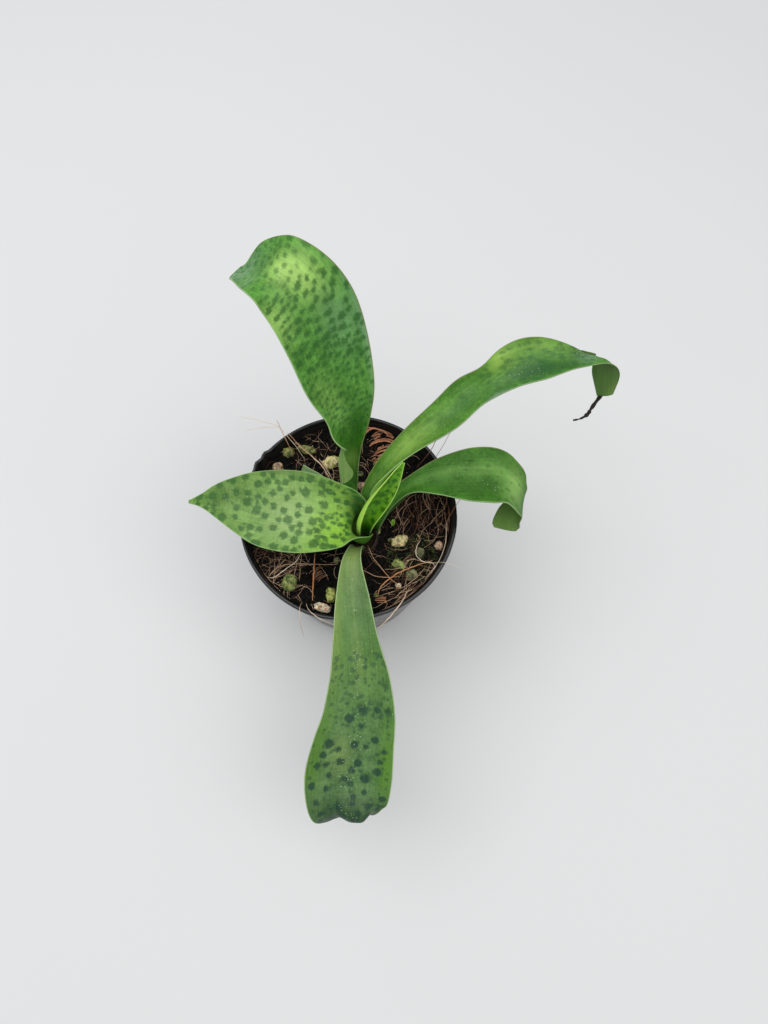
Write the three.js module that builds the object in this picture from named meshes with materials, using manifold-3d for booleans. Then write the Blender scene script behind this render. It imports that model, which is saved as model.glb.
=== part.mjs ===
// A small spotted-leaf bulb of the squill family in a thin round nursery pot.
// Millimetres, +Z up. The origin is the middle of the pot's flat underside.
import * as THREE from "three";
import { mergeVertices } from "three/addons/utils/BufferGeometryUtils.js";
import Module from "manifold-3d";

const wasm = await Module();
wasm.setup();

// Clearance kept between neighbouring pieces, and round what is bedded in the soil.
const GAP = 0.3;
const POCKET_GAP = 0.4;

// Pot: a thin tapered cup with a small bead round its rim and a ring of drainage holes.
const POT_HEIGHT = 72;
const POT_RIM_RADIUS = 42.5;
const POT_BASE_RADIUS = 32;
const POT_BASE_ROUNDING = 1.6;
const POT_BASE_CHAMFER = 0.5;
const POT_WALL = 1;
const POT_FLOOR = 1.4;
const BEAD_HEIGHT = 2.4;
const BEAD_DEPTH = 0.5;
const BEAD_SLOPE = 0.6;
const RIM_CHAMFER = 0.4;
const DRAIN_HOLES = 8;
const DRAIN_HOLE_RADIUS = 3;
const DRAIN_RING_RADIUS = 21;
const DRAIN_DRILL_LENGTH = 6;
const POT_SIDES = 48;
const DRAIN_HOLE_SIDES = 12;

// Potting mix: fills the pot to a little below the rim, with a lumpy top.
const SOIL_LEVEL = 66;
const SOIL_RELIEF = 0.9;
const SOIL_RINGS = 8;
const SOIL_SIDES = 40;
const SOIL_FOOT_CHAMFER = 1;
const SOIL_SWELL = { share: 0.6, x: 0.21, y: 0.24, phaseX: 1.1, phaseY: -0.4 };
const SOIL_LUMPS = { share: 0.5, coarse: 0.83, fine: 0.61, slant: 0.52, turn: 0.37, phase: 2 };

// Bulb: a buried teardrop with a short neck, a basal plate and a few thick roots.
const BULB_CENTRE = [5.5, -9.5];
const BULB_PROFILE = [
  [0, 44],
  [4.5, 44.4],
  [8.6, 48],
  [11, 53.5],
  [10, 59],
  [7.6, 63.5],
  [7.2, 67],
  [7, 69.4],
  [0, 70],
];
const BULB_SIDES = 20;
const ROOT_COUNT = 7;
const ROOT_LENGTH = 30;
const ROOT_SPREADS = [6.6, 11];
const ROOT_START_RADIUS = 2.4;
const ROOT_SUNK = 2;
const ROOT_PHASE = 0.3;
const ROOT_BASE_RADIUS = 1.3;
const ROOT_TIP_RADIUS = 0.5;
const ROOT_SIDES = 5;

// Leaves. Each row is one station from the base to the tip: the point halfway between the two
// margins, the vector from there to the right-hand margin, and the fold, which is half the
// angle of the arc that the blade makes from margin to margin, in degrees.
const LEAF_MARGIN_THICKNESS = 0.6;
const LEAF_LEAST_FOLD = 2;
const LEAF_RIB_TAPER = 0.7;
const LEAF_RIPPLE_SKEW = 1.3;
const LEAVES = {
  leaf_back: {
    rib: 1.5,
    wave: 0.25,
    waves: 3,
    rows: 28,
    columns: 8,
    stations: [
      [1.9, -5.2, 70.4, 1.5, 1.7, 0, 22],
      [1.4, -3, 76.5, 2, 1.4, -0.3, 35],
      [0.8, 6.6, 83.5, 2.9, 0.4, -0.6, 60],
      [2, 10, 95.5, 2, 1, -1.6, 95],
      [3.4, 12.5, 107.5, 2.3, 0.4, -1.5, 80],
      [2.6, 15.6, 119.5, 6.4, 1.5, -1.2, 48],
      [-0.2, 21.4, 132.5, 10.8, 2.2, -0.8, 32],
      [-3.6, 29.4, 145, 12.6, 2.8, -0.2, 25],
      [-8.2, 37, 154.5, 13.4, 2.8, 0.5, 22],
      [-14.6, 43.4, 160.5, 12, 4.8, 1.6, 24],
      [-21.2, 48.2, 161, 8.7, 7, 3, 26],
      [-28, 53, 155, 5.2, 6.2, 3, 27],
      [-33.6, 55.6, 147.6, 2.5, 2.6, 1, 20],
      [-37, 56.4, 143, 0.3, 0.3, 0, 12],
    ],
  },
  leaf_right_long: {
    rib: 1.5,
    wave: 0.5,
    waves: 3,
    rows: 30,
    columns: 6,
    stations: [
      [6.1, -4, 70.4, 2, -0.2, 0, 22],
      [6.2, -2.4, 77.5, 2.2, -0.6, 0.2, 45],
      [7.6, 4.2, 86, 1.4, -0.9, 1.5, 90],
      [14, 11, 93.5, 2.4, -2.2, 1.5, 72],
      [25, 19.2, 100.5, 3.4, -3.4, 0.5, 50],
      [37.2, 27, 106.5, 4, -5, -0.4, 44],
      [46.6, 33.4, 111.5, 3.1, -5.8, -0.8, 42],
      [58.2, 38.4, 116.5, 3, -6.6, -1.4, 38],
      [70.2, 41.2, 118.5, 1.6, -7.3, -1.6, 35],
      [81.8, 43.7, 116.6, 1.5, -4.3, -1.5, 31],
      [90.6, 44.2, 112.5, 2.8, -1.3, 0.4, 27],
      [95.8, 42.8, 104.5, 4.6, -1.2, 0.5, 20],
      [97.4, 39.2, 95.5, 2.9, -0.3, 0.5, 15],
    ],
  },
  leaf_right_short: {
    rib: 1.5,
    wave: 0.3,
    waves: 2,
    rows: 26,
    columns: 6,
    stations: [
      [10, -6.3, 70.4, 1.3, -1.8, 0, 22],
      [11.2, -5.2, 77.5, 1.4, -1.8, 0.2, 45],
      [16, 0.2, 84.5, 1.3, -2.1, 1, 85],
      [23, 4.6, 89.5, 1.8, -2.7, 1.3, 60],
      [33.5, 6.8, 92, 1.9, -6.4, -0.4, 36],
      [45, 7.4, 93.2, 1.6, -9.8, -1, 28],
      [55, 7.4, 92.6, 0.8, -10.4, -1.4, 25],
      [61.4, 5.5, 90.8, -0.9, -9.7, 0, 25],
      [65.4, 2, 86, -1.8, -7.9, 0.5, 25],
      [66.4, 0.2, 78.5, -0.4, -6.5, 1.4, 22],
      [63.6, -1.8, 72.6, 2.8, -5, 2.4, 16],
      [61, -4.2, 69.4, 3.6, -2.8, 1.6, 12],
      [60, -5.8, 67.4, 1.2, -0.8, 0.5, 8],
    ],
  },
  leaf_left: {
    rib: 1.3,
    wave: 0.2,
    waves: 3,
    rows: 26,
    columns: 8,
    stations: [
      [7.3, -9.5, 70.4, 0, 3.8, 0, 112],
      [7.6, -9.3, 79.5, 0, 4.4, 0.6, 106],
      [5.6, -8.2, 84.4, -0.6, 6.2, 2.2, 72],
      [1, -6.9, 87, -0.2, 9.8, 2.6, 42],
      [-6.8, -6.6, 88.2, 0.2, 13, 2.4, 26],
      [-17.4, -5.6, 88.6, 0.4, 15.1, 2, 18],
      [-28.6, -4.3, 88.2, -0.3, 14.5, 1.8, 15],
      [-38.6, -1.7, 86.6, 0.2, 11.6, 1.5, 14],
      [-48.6, 0.8, 84, 0.2, 6.8, 1, 12],
      [-55.4, 1.6, 81.6, 0.4, 2.6, 0.5, 10],
      [-60.8, 1.9, 79, 0, 0.5, 0, 8],
    ],
  },
  leaf_front: {
    rib: 1.5,
    wave: 0.25,
    waves: 4,
    rows: 28,
    columns: 8,
    stations: [
      [4.1, -14.8, 70.4, -2.2, 0.6, 0, 24],
      [3.4, -16.6, 77.5, -2.8, 0, 0, 32],
      [2, -23.6, 80.4, -4.2, -0.6, 0, 40],
      [2.6, -37, 81.4, -6.2, -0.2, 0, 32],
      [4, -51, 79, -8.5, 0, 0, 26],
      [5.2, -65, 74.2, -11, -0.4, 0, 22],
      [4.6, -77, 69, -13.4, -0.8, 0, 20],
      [2.2, -88, 63, -15.3, -1, 0, 18],
      [0.7, -99, 56, -16, -0.8, 0, 19],
      [0.6, -109, 50, -14, -2.4, 0, 20],
      [1.3, -111.6, 43, -9.4, -1.4, 0, 18],
      [1.7, -110, 36.4, -4.4, -0.6, 0, 14],
      [2, -106.6, 32, -0.5, 0, 0, 10],
    ],
  },
  leaf_young: {
    rib: 1.1,
    wave: 0.1,
    waves: 2,
    rows: 16,
    columns: 6,
    stations: [
      [6.2, -10.4, 71.5, 1.3, -0.2, -1.1, 100],
      [6.4, -10.6, 81, 1.8, -0.2, -1.4, 100],
      [7.8, -9.2, 87.5, 2.4, -0.4, -1.8, 96],
      [11.4, -5.6, 94, 3, -0.4, -2.2, 84],
      [15.2, -2, 100, 2.5, -0.6, -1.7, 75],
      [18.2, 1.6, 105, 1.5, -0.4, -0.9, 60],
      [20.6, 5, 109, 0.4, 0, 0, 20],
    ],
  },
  leaf_stub: {
    rib: 1.2,
    wave: 0,
    waves: 1,
    rows: 8,
    columns: 4,
    stations: [
      [-0.5, -9.5, 70.4, 0, 1.3, 0, 15],
      [-3.2, -7.6, 75, 0.6, 1.5, 0, 24],
      [-6.8, 0.6, 77.6, 2.2, 2.8, 0.4, 28],
      [-11.6, 8.2, 79, 1.3, 4.2, 0.4, 25],
      [-19.6, 13.2, 78, 0.4, 4.8, 0.4, 22],
    ],
  },
};

// Withered tip: a thin black thread with a knot and a small hook, hung from the long right leaf.
const DRY_TIP_PATH = [
  [96, 38.6, 93.4],
  [93.6, 36, 90.8],
  [92, 34, 89.4],
  [89.4, 32.6, 88.4],
  [86.6, 32, 88.2],
];
const DRY_TIP_RADII = [0.9, 0.75, 1, 0.6, 0.5];
const DRY_TIP_SIDES = 5;

// Loose grit: plan position, size along its length, across and in height, turn in degrees.
const GRIT = {
  grit_back_olive: [-25, 28, 5, 4, 4, 10],
  grit_back_pink: [-29, 21.5, 4.2, 4.2, 4, 40],
  grit_back_flat: [-18, 29.5, 8.6, 3.6, 3, -8],
  grit_back_cream: [-7.4, 23.6, 7.2, 5.2, 5, 15],
  grit_neck_cream: [5.4, 13.6, 4, 3.4, 3.6, 5],
  grit_neck_small: [4.4, 19, 2.4, 2.2, 2.4, 0],
  grit_right_yellow: [20, -9.8, 6.4, 4.4, 4.6, 12],
  grit_right_green: [19.6, -19.2, 5.6, 3.6, 3.8, -28],
  grit_right_pink: [35.4, -11.6, 3.4, 3.6, 3.6, 20],
  grit_right_sage: [27.8, -14.4, 3.4, 4, 3.4, 60],
  grit_front_grey: [24.4, -23.6, 4.6, 4.2, 3.6, 30],
  grit_front_pale: [19.4, -27.8, 2.4, 2.2, 2.4, 0],
  grit_left_green: [-22, -26.6, 6.2, 7, 5.6, 75],
  grit_front_yellow: [-6.4, -31.4, 3.8, 6, 4.6, 0],
  grit_front_white: [-9.4, -36.6, 6.4, 3.6, 4.2, -18],
  grit_left_small: [-4.4, -17.6, 2.4, 3, 2.6, 0],
};
const GRIT_RINGS = 4;
const GRIT_SIDES = 8;
const LUMP_ROUGHNESS = 0.14;
const LUMP_SQUARENESS = 0.8;
const LUMP_SUNK = 0.35;
const GRIT_SEED = 100;

// Bark chips: plan position, length, width, height, turn in degrees.
const BARK = {
  bark_back_long: [13.4, 33.4, 14, 3, 2.4, 2],
  bark_back_middle: [14.6, 29.2, 11, 2.6, 2.4, 10],
  bark_back_near: [12.4, 25.4, 8, 2.8, 2.2, 18],
  bark_front_left: [-11.4, -23.2, 5.6, 5.2, 3, 35],
  bark_front_right: [13.6, -33.6, 5, 2.4, 1.8, -10],
};
const BARK_RINGS = 5;
const BARK_SIDES = 6;
const BARK_SEED = 200;

// Coir fibres: some laid by hand, the rest strewn by a seeded rule.
const FIBRE_RADIUS = 0.45;
const FIBRE_SIDES = 3;
const FIBRE_STEPS = 4;
const FIBRE_SINK = 1.5;
const LAID_FIBRES = [
  { from: [11, -32], to: [31.6, -18], rise: 2.2, bow: 2 },
  { from: [-12.6, -15.4], to: [-13.6, -33.4], rise: 2.4, bow: 0.5 },
  { from: [-30, -20], to: [-17.6, -15.4], rise: 2.6, bow: -4 },
  { from: [-20.4, -19.8], to: [-4.4, -20], rise: 2, bow: 0.6 },
  { from: [-21.6, 30.4], to: [-8.6, 16.2], rise: 3, bow: 1.2 },
  { from: [26.4, -14], to: [31, -19.6], rise: 3, bow: -3.4 },
];
const STREWN_FIBRES = 22;
const STREWN_SEED = 41;
const STREWN_LENGTH = [9, 22];
const STREWN_RISE = [1.2, 2.8];
const STREWN_BOW = 4;
const STREWN_WALL_CLEARANCE = 3;
const STREWN_NECK_CLEARANCE = 9;
const STREWN_GRIT_CLEARANCE = 1;
const STREWN_TESTS = 10;

const POT_SLOPE = (POT_RIM_RADIUS - BEAD_DEPTH - POT_BASE_RADIUS) / POT_HEIGHT;

// Radius of the pot's outer wall at a height, without the bead.
function potRadius(height) {
  return POT_BASE_RADIUS + POT_SLOPE * height;
}

// A repeatable stream of numbers from 0 to 1.
function seeded(seed) {
  let state = seed >>> 0;
  return () => {
    state = (Math.imul(state, 1664525) + 1013904223) >>> 0;
    return state / 4294967296;
  };
}

// A closed geometry as a solid that can be joined and cut.
function solid(geometry) {
  const bare = geometry.index ? geometry.toNonIndexed() : geometry.clone();
  bare.deleteAttribute("normal");
  bare.deleteAttribute("uv");
  const merged = mergeVertices(bare, 1e-4);
  return new wasm.Manifold(
    new wasm.Mesh({
      numProp: 3,
      vertProperties: new Float32Array(merged.attributes.position.array),
      triVerts: new Uint32Array(merged.index.array),
    }),
  );
}

// The largest body of a solid, without the scraps that a cut can leave.
function largest(body) {
  const bodies = body.decompose();
  return bodies.reduce((a, b) => (b.volume() > a.volume() ? b : a));
}

// A solid as a geometry.
function geometryOf(body) {
  const mesh = body.getMesh();
  const geometry = new THREE.BufferGeometry();
  geometry.setAttribute("position", new THREE.BufferAttribute(mesh.vertProperties, 3));
  geometry.setIndex(new THREE.BufferAttribute(mesh.triVerts, 1));
  geometry.computeVertexNormals();
  return geometry;
}

// A geometry from a list of points and a list of triangles.
function geometryFrom(points, triangles) {
  const geometry = new THREE.BufferGeometry();
  const flat = points.flatMap((p) => [p.x, p.y, p.z]);
  geometry.setAttribute("position", new THREE.Float32BufferAttribute(flat, 3));
  geometry.setIndex(triangles.flat());
  geometry.computeVertexNormals();
  return geometry;
}

// A turned shape about Z from a profile of [radius, height] points, listed from the bottom up.
function turned(profile, sides) {
  const points = profile.map(([r, z]) => new THREE.Vector2(r, z));
  const geometry = new THREE.LatheGeometry(points, sides);
  geometry.rotateX(Math.PI / 2);
  return geometry;
}

// A closed tube with its own radius at each point of a path.
function tube(path, radii, sides) {
  const points = [];
  const triangles = [];
  const reference = new THREE.Vector3(0.13, 0.21, 0.97).normalize();
  path.forEach((centre, i) => {
    const before = path[Math.max(i - 1, 0)];
    const after = path[Math.min(i + 1, path.length - 1)];
    const along = after.clone().sub(before).normalize();
    const across = along.clone().cross(reference).normalize();
    const up = across.clone().cross(along);
    for (let k = 0; k < sides; k++) {
      const angle = (2 * Math.PI * k) / sides;
      const offset = across.clone().multiplyScalar(Math.cos(angle) * radii[i]);
      offset.addScaledVector(up, Math.sin(angle) * radii[i]);
      points.push(centre.clone().add(offset));
    }
  });
  for (let i = 0; i < path.length - 1; i++) {
    for (let k = 0; k < sides; k++) {
      const a = i * sides + k;
      const b = i * sides + ((k + 1) % sides);
      triangles.push([a, a + sides, b], [b, a + sides, b + sides]);
    }
  }
  const last = (path.length - 1) * sides;
  for (let k = 1; k < sides - 1; k++) {
    triangles.push([0, k, k + 1], [last, last + k + 1, last + k]);
  }
  return facingOut(geometryFrom(points, triangles));
}

// The same geometry with its faces turned to point outwards.
function facingOut(geometry) {
  const body = solid(geometry);
  if (body.volume() > 0) {
    return geometry;
  }
  const index = geometry.index.array;
  for (let i = 0; i < index.length; i += 3) {
    [index[i + 1], index[i + 2]] = [index[i + 2], index[i + 1]];
  }
  geometry.computeVertexNormals();
  return geometry;
}

// A smooth value between rows of numbers, with t from 0 at the first row to 1 at the last.
function smooth(rows, t) {
  const spans = rows.length - 1;
  const k = Math.min(Math.floor(t * spans), spans - 1);
  const f = t * spans - k;
  const p1 = rows[k];
  const p2 = rows[k + 1];
  return p1.map((v1, i) => {
    const v2 = p2[i];
    const v0 = k > 0 ? rows[k - 1][i] : 2 * v1 - v2;
    const v3 = k + 2 <= spans ? rows[k + 2][i] : 2 * v2 - v1;
    const linear = (v2 - v0) * f;
    const square = (2 * v0 - 5 * v1 + 4 * v2 - v3) * f * f;
    const cube = (3 * v1 - v0 - 3 * v2 + v3) * f * f * f;
    return v1 + 0.5 * (linear + square + cube);
  });
}

// The leaf's upper surface: t runs from base to tip and u from the left margin (-1) to the right.
function leafPoint(leaf, t, u) {
  const [x, y, z, sx, sy, sz, fold] = smooth(leaf.stations, t);
  const step = 0.5 / leaf.rows;
  const ahead = smooth(leaf.stations, Math.min(t + step, 1));
  const behind = smooth(leaf.stations, Math.max(t - step, 0));
  const along = new THREE.Vector3(
    ahead[0] - behind[0],
    ahead[1] - behind[1],
    ahead[2] - behind[2],
  ).normalize();
  const side = new THREE.Vector3(sx, sy, sz);
  const halfChord = side.length();
  side.addScaledVector(along, -side.dot(along)).normalize();
  const face = side.clone().cross(along);
  const half = THREE.MathUtils.degToRad(Math.max(fold, LEAF_LEAST_FOLD));
  const radius = halfChord / Math.sin(half);
  const sunk = radius * (Math.cos(half * u) - Math.cos(half));
  const wave = Math.sin(2 * Math.PI * leaf.waves * t + LEAF_RIPPLE_SKEW * u);
  const ripple = leaf.wave * wave * u * u * t;
  return new THREE.Vector3(x, y, z)
    .addScaledVector(side, radius * Math.sin(half * u))
    .addScaledVector(face, ripple - sunk);
}

// A leaf with a thicker midrib and thin margins. Both faces are split into triangles alike.
function leafGeometry(leaf) {
  const { rows, columns } = leaf;
  const grid = [];
  for (let i = 0; i <= rows; i++) {
    const line = [];
    for (let j = 0; j <= columns; j++) {
      line.push(leafPoint(leaf, i / rows, (2 * j) / columns - 1));
    }
    grid.push(line);
  }
  const upper = [];
  const lower = [];
  grid.forEach((line, i) => {
    line.forEach((point, j) => {
      const alongA = grid[Math.max(i - 1, 0)][j];
      const alongB = grid[Math.min(i + 1, rows)][j];
      const acrossA = line[Math.max(j - 1, 0)];
      const acrossB = line[Math.min(j + 1, columns)];
      const across = acrossB.clone().sub(acrossA);
      const face = across.cross(alongB.clone().sub(alongA)).normalize();
      const u = (2 * j) / columns - 1;
      const t = i / rows;
      const share = (1 - LEAF_RIB_TAPER * t) * (1 - u * u) ** 2;
      const thickness = LEAF_MARGIN_THICKNESS + (leaf.rib - LEAF_MARGIN_THICKNESS) * share;
      upper.push(point);
      lower.push(point.clone().addScaledVector(face, -thickness));
    });
  });
  const width = columns + 1;
  const under = upper.length;
  const triangles = [];
  for (let i = 0; i < rows; i++) {
    for (let j = 0; j < columns; j++) {
      const a = i * width + j;
      const c = a + width;
      triangles.push([a, a + 1, c], [a + 1, c + 1, c]);
      triangles.push([under + a, under + c, under + a + 1]);
      triangles.push([under + a + 1, under + c, under + c + 1]);
    }
  }
  const rim = [];
  const tip = rows * width;
  for (let j = 0; j < columns; j++) {
    rim.push([j + 1, j], [tip + j, tip + j + 1]);
  }
  for (let i = 0; i < rows; i++) {
    const left = i * width;
    rim.push([left, left + width], [left + width + columns, left + columns]);
  }
  rim.forEach(([a, b]) => {
    triangles.push([a, b, under + a], [b, under + b, under + a]);
  });
  return facingOut(geometryFrom([...upper, ...lower], triangles));
}

// Height of the soil's top at a plan position.
function soilHeight(x, y) {
  const { x: kx, y: ky, phaseX, phaseY } = SOIL_SWELL;
  const { coarse, fine, slant, turn, phase } = SOIL_LUMPS;
  const swell = Math.sin(kx * x + phaseX) * Math.cos(ky * y + phaseY);
  const lumps = Math.sin(coarse * x - slant * y) * Math.sin(fine * y + turn * x + phase);
  return SOIL_LEVEL + SOIL_RELIEF * (SOIL_SWELL.share * swell + SOIL_LUMPS.share * lumps);
}

// The pot, with its drainage holes cut through the floor.
function potSolid() {
  const wallTop = POT_HEIGHT - BEAD_HEIGHT;
  const inner = (height) => potRadius(height) - POT_WALL;
  const profile = [
    [0, 0],
    [POT_BASE_RADIUS - POT_BASE_ROUNDING, 0],
    [potRadius(0) - POT_BASE_CHAMFER / 2, POT_BASE_CHAMFER],
    [potRadius(POT_BASE_ROUNDING), POT_BASE_ROUNDING],
    [potRadius(wallTop), wallTop - BEAD_SLOPE],
    [potRadius(wallTop) + BEAD_DEPTH, wallTop],
    [POT_RIM_RADIUS, POT_HEIGHT - RIM_CHAMFER],
    [POT_RIM_RADIUS - RIM_CHAMFER, POT_HEIGHT],
    [inner(POT_HEIGHT) + RIM_CHAMFER, POT_HEIGHT],
    [inner(POT_HEIGHT), POT_HEIGHT - RIM_CHAMFER],
    [inner(POT_FLOOR + POT_WALL), POT_FLOOR + POT_WALL],
    [inner(POT_FLOOR) - POT_WALL, POT_FLOOR],
    [0, POT_FLOOR],
  ];
  let pot = solid(facingOut(turned(profile, POT_SIDES)));
  for (let i = 0; i < DRAIN_HOLES; i++) {
    const angle = (2 * Math.PI * (i + 0.5)) / DRAIN_HOLES;
    const drill = new THREE.CylinderGeometry(
      DRAIN_HOLE_RADIUS,
      DRAIN_HOLE_RADIUS,
      DRAIN_DRILL_LENGTH,
      DRAIN_HOLE_SIDES,
    );
    drill.rotateX(Math.PI / 2);
    drill.translate(
      DRAIN_RING_RADIUS * Math.cos(angle),
      DRAIN_RING_RADIUS * Math.sin(angle),
      POT_FLOOR / 2,
    );
    pot = pot.subtract(solid(drill));
  }
  return pot;
}

// The bulb with its roots, or the hole for them when it is made larger by a clearance.
function bulbSolid(clearance) {
  const profile = BULB_PROFILE.map(([r, z], i) => {
    const lift = i === 0 || i === 1 ? -clearance : 0;
    return [r > 0 ? r + clearance : 0, z + lift];
  });
  profile[profile.length - 1][1] += clearance;
  const body = turned(profile, BULB_SIDES);
  body.translate(BULB_CENTRE[0], BULB_CENTRE[1], 0);
  let bulb = solid(facingOut(body));
  const plate = BULB_PROFILE[1][1] + ROOT_SUNK;
  for (let i = 0; i < ROOT_COUNT; i++) {
    const angle = (2 * Math.PI * i) / ROOT_COUNT + ROOT_PHASE;
    const start = new THREE.Vector3(
      BULB_CENTRE[0] + ROOT_START_RADIUS * Math.cos(angle),
      BULB_CENTRE[1] + ROOT_START_RADIUS * Math.sin(angle),
      plate,
    );
    const reach = ROOT_SPREADS[i % ROOT_SPREADS.length];
    const end = new THREE.Vector3(
      BULB_CENTRE[0] + reach * Math.cos(angle),
      BULB_CENTRE[1] + reach * Math.sin(angle),
      plate - ROOT_LENGTH - clearance,
    );
    const radii = [ROOT_BASE_RADIUS + clearance, ROOT_TIP_RADIUS + clearance];
    bulb = bulb.add(solid(tube([start, end], radii, ROOT_SIDES)));
  }
  return bulb;
}

// A lumpy pebble or chip partly sunk in the soil, or its smooth pocket when there is a clearance.
function lumpSolid(entry, rings, sides, seed, clearance) {
  const [x, y, length, width, height, turn] = entry;
  const random = seeded(seed);
  const points = [];
  const triangles = [];
  const bulge = () => {
    const roughness = clearance > 0 ? 1 : 2 * random() - 1;
    return 1 + LUMP_ROUGHNESS * roughness;
  };
  const [halfLength, halfWidth, halfHeight] = [length, width, height].map(
    (size) => 0.5 * size + clearance,
  );
  points.push(new THREE.Vector3(0, 0, -halfHeight));
  for (let i = 1; i < rings; i++) {
    const polar = (Math.PI * i) / rings;
    for (let k = 0; k < sides; k++) {
      const angle = (2 * Math.PI * (k + 0.5 * (i % 2))) / sides;
      const r = Math.sin(polar) ** LUMP_SQUARENESS * bulge();
      points.push(
        new THREE.Vector3(
          halfLength * r * Math.cos(angle),
          halfWidth * r * Math.sin(angle),
          -halfHeight * Math.cos(polar),
        ),
      );
    }
  }
  points.push(new THREE.Vector3(0, 0, halfHeight));
  const top = points.length - 1;
  for (let k = 0; k < sides; k++) {
    const next = (k + 1) % sides;
    triangles.push([0, 1 + next, 1 + k]);
    triangles.push([top, top - sides + k, top - sides + next]);
    for (let i = 0; i < rings - 2; i++) {
      const a = 1 + i * sides + k;
      const b = 1 + i * sides + next;
      triangles.push([a, b, a + sides], [b, b + sides, a + sides]);
    }
  }
  const geometry = geometryFrom(points, triangles);
  geometry.rotateZ(THREE.MathUtils.degToRad(turn));
  geometry.translate(x, y, soilHeight(x, y) + height * (0.5 - LUMP_SUNK));
  return solid(facingOut(geometry));
}

// The soil's body: a lumpy top on a plug that follows the inside of the pot.
function soilBlock() {
  const bottom = POT_FLOOR + GAP;
  const plug = (z) => potRadius(z) - POT_WALL - GAP;
  const points = [new THREE.Vector3(0, 0, soilHeight(0, 0))];
  const triangles = [];
  const ring = (radius, height) => {
    for (let k = 0; k < SOIL_SIDES; k++) {
      const angle = (2 * Math.PI * k) / SOIL_SIDES;
      const x = radius * Math.cos(angle);
      const y = radius * Math.sin(angle);
      points.push(new THREE.Vector3(x, y, height === undefined ? soilHeight(x, y) : height));
    }
  };
  const edge = plug(SOIL_LEVEL - SOIL_RELIEF);
  for (let i = 1; i <= SOIL_RINGS; i++) {
    ring((edge * i) / SOIL_RINGS);
  }
  ring(plug(SOIL_LEVEL / 2), SOIL_LEVEL / 2);
  ring(plug(bottom + SOIL_FOOT_CHAMFER), bottom + SOIL_FOOT_CHAMFER);
  ring(plug(bottom) - SOIL_FOOT_CHAMFER, bottom);
  points.push(new THREE.Vector3(0, 0, bottom));
  const floor = points.length - 1;
  for (let k = 0; k < SOIL_SIDES; k++) {
    const next = (k + 1) % SOIL_SIDES;
    triangles.push([0, 1 + k, 1 + next]);
    triangles.push([floor, floor - SOIL_SIDES + next, floor - SOIL_SIDES + k]);
    for (let i = 0; i < SOIL_RINGS + 2; i++) {
      const a = 1 + i * SOIL_SIDES + k;
      const b = 1 + i * SOIL_SIDES + next;
      triangles.push([a, a + SOIL_SIDES, b], [b, a + SOIL_SIDES, b + SOIL_SIDES]);
    }
  }
  return solid(facingOut(geometryFrom(points, triangles)));
}

// A fibre that leaves the soil, bows over it and dips back in.
function fibreSolid({ from, to, rise, bow }) {
  const path = [];
  const [dx, dy] = [to[0] - from[0], to[1] - from[1]];
  const length = Math.hypot(dx, dy);
  for (let i = 0; i <= FIBRE_STEPS; i++) {
    const t = i / FIBRE_STEPS;
    const arch = 4 * t * (1 - t);
    const x = from[0] + dx * t - (dy / length) * bow * arch;
    const y = from[1] + dy * t + (dx / length) * bow * arch;
    const lift = (rise + FIBRE_SINK) * arch - FIBRE_SINK;
    path.push(new THREE.Vector3(x, y, soilHeight(x, y) + lift));
  }
  return solid(tube(path, path.map(() => FIBRE_RADIUS), FIBRE_SIDES));
}

// The strewn fibres' places, kept inside the pot and clear of the bulb's neck and the grit.
function strewnFibres() {
  const random = seeded(STREWN_SEED);
  const between = (low, high) => low + (high - low) * random();
  const limit = potRadius(SOIL_LEVEL) - POT_WALL - STREWN_WALL_CLEARANCE;
  const obstacles = [[...BULB_CENTRE, STREWN_NECK_CLEARANCE]];
  [...Object.values(GRIT), ...Object.values(BARK)].forEach(([x, y, length, width]) => {
    obstacles.push([x, y, Math.max(length, width) / 2 + STREWN_GRIT_CLEARANCE]);
  });
  const free = ([ax, ay], [bx, by], bow) => {
    const length = Math.hypot(bx - ax, by - ay);
    for (let i = 0; i <= STREWN_TESTS; i++) {
      const t = i / STREWN_TESTS;
      const arch = 4 * t * (1 - t) * bow;
      const x = ax + (bx - ax) * t - ((by - ay) / length) * arch;
      const y = ay + (by - ay) * t + ((bx - ax) / length) * arch;
      const blocked = obstacles.some(([ox, oy, r]) => Math.hypot(x - ox, y - oy) < r);
      if (blocked || Math.hypot(x, y) > limit) {
        return false;
      }
    }
    return true;
  };
  const fibres = [];
  while (fibres.length < STREWN_FIBRES) {
    const radius = limit * Math.sqrt(random());
    const place = 2 * Math.PI * random();
    const heading = 2 * Math.PI * random();
    const length = between(...STREWN_LENGTH);
    const from = [radius * Math.cos(place), radius * Math.sin(place)];
    const to = [from[0] + length * Math.cos(heading), from[1] + length * Math.sin(heading)];
    const bow = between(-STREWN_BOW, STREWN_BOW);
    const rise = between(...STREWN_RISE);
    if (free(from, to, bow)) {
      fibres.push({ from, to, rise, bow });
    }
  }
  return fibres;
}

const finishes = {
  pot: { color: 0x17181a, roughness: 0.28, metalness: 0 },
  soil: { color: 0x2a1d14, roughness: 0.95, metalness: 0 },
  bulb: { color: 0x9c8f63, roughness: 0.6, metalness: 0 },
  leaf: { color: 0x4f8f3c, roughness: 0.4, metalness: 0 },
  dryTip: { color: 0x1d1712, roughness: 0.85, metalness: 0 },
  grit: { color: 0xb3a878, roughness: 0.9, metalness: 0 },
  bark: { color: 0x8a4f34, roughness: 0.9, metalness: 0 },
};

const plant = new THREE.Group();

// Adds a named piece to the group.
function place(name, body, finish) {
  const mesh = new THREE.Mesh(geometryOf(body), new THREE.MeshStandardMaterial(finish));
  mesh.name = name;
  plant.add(mesh);
}

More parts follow.
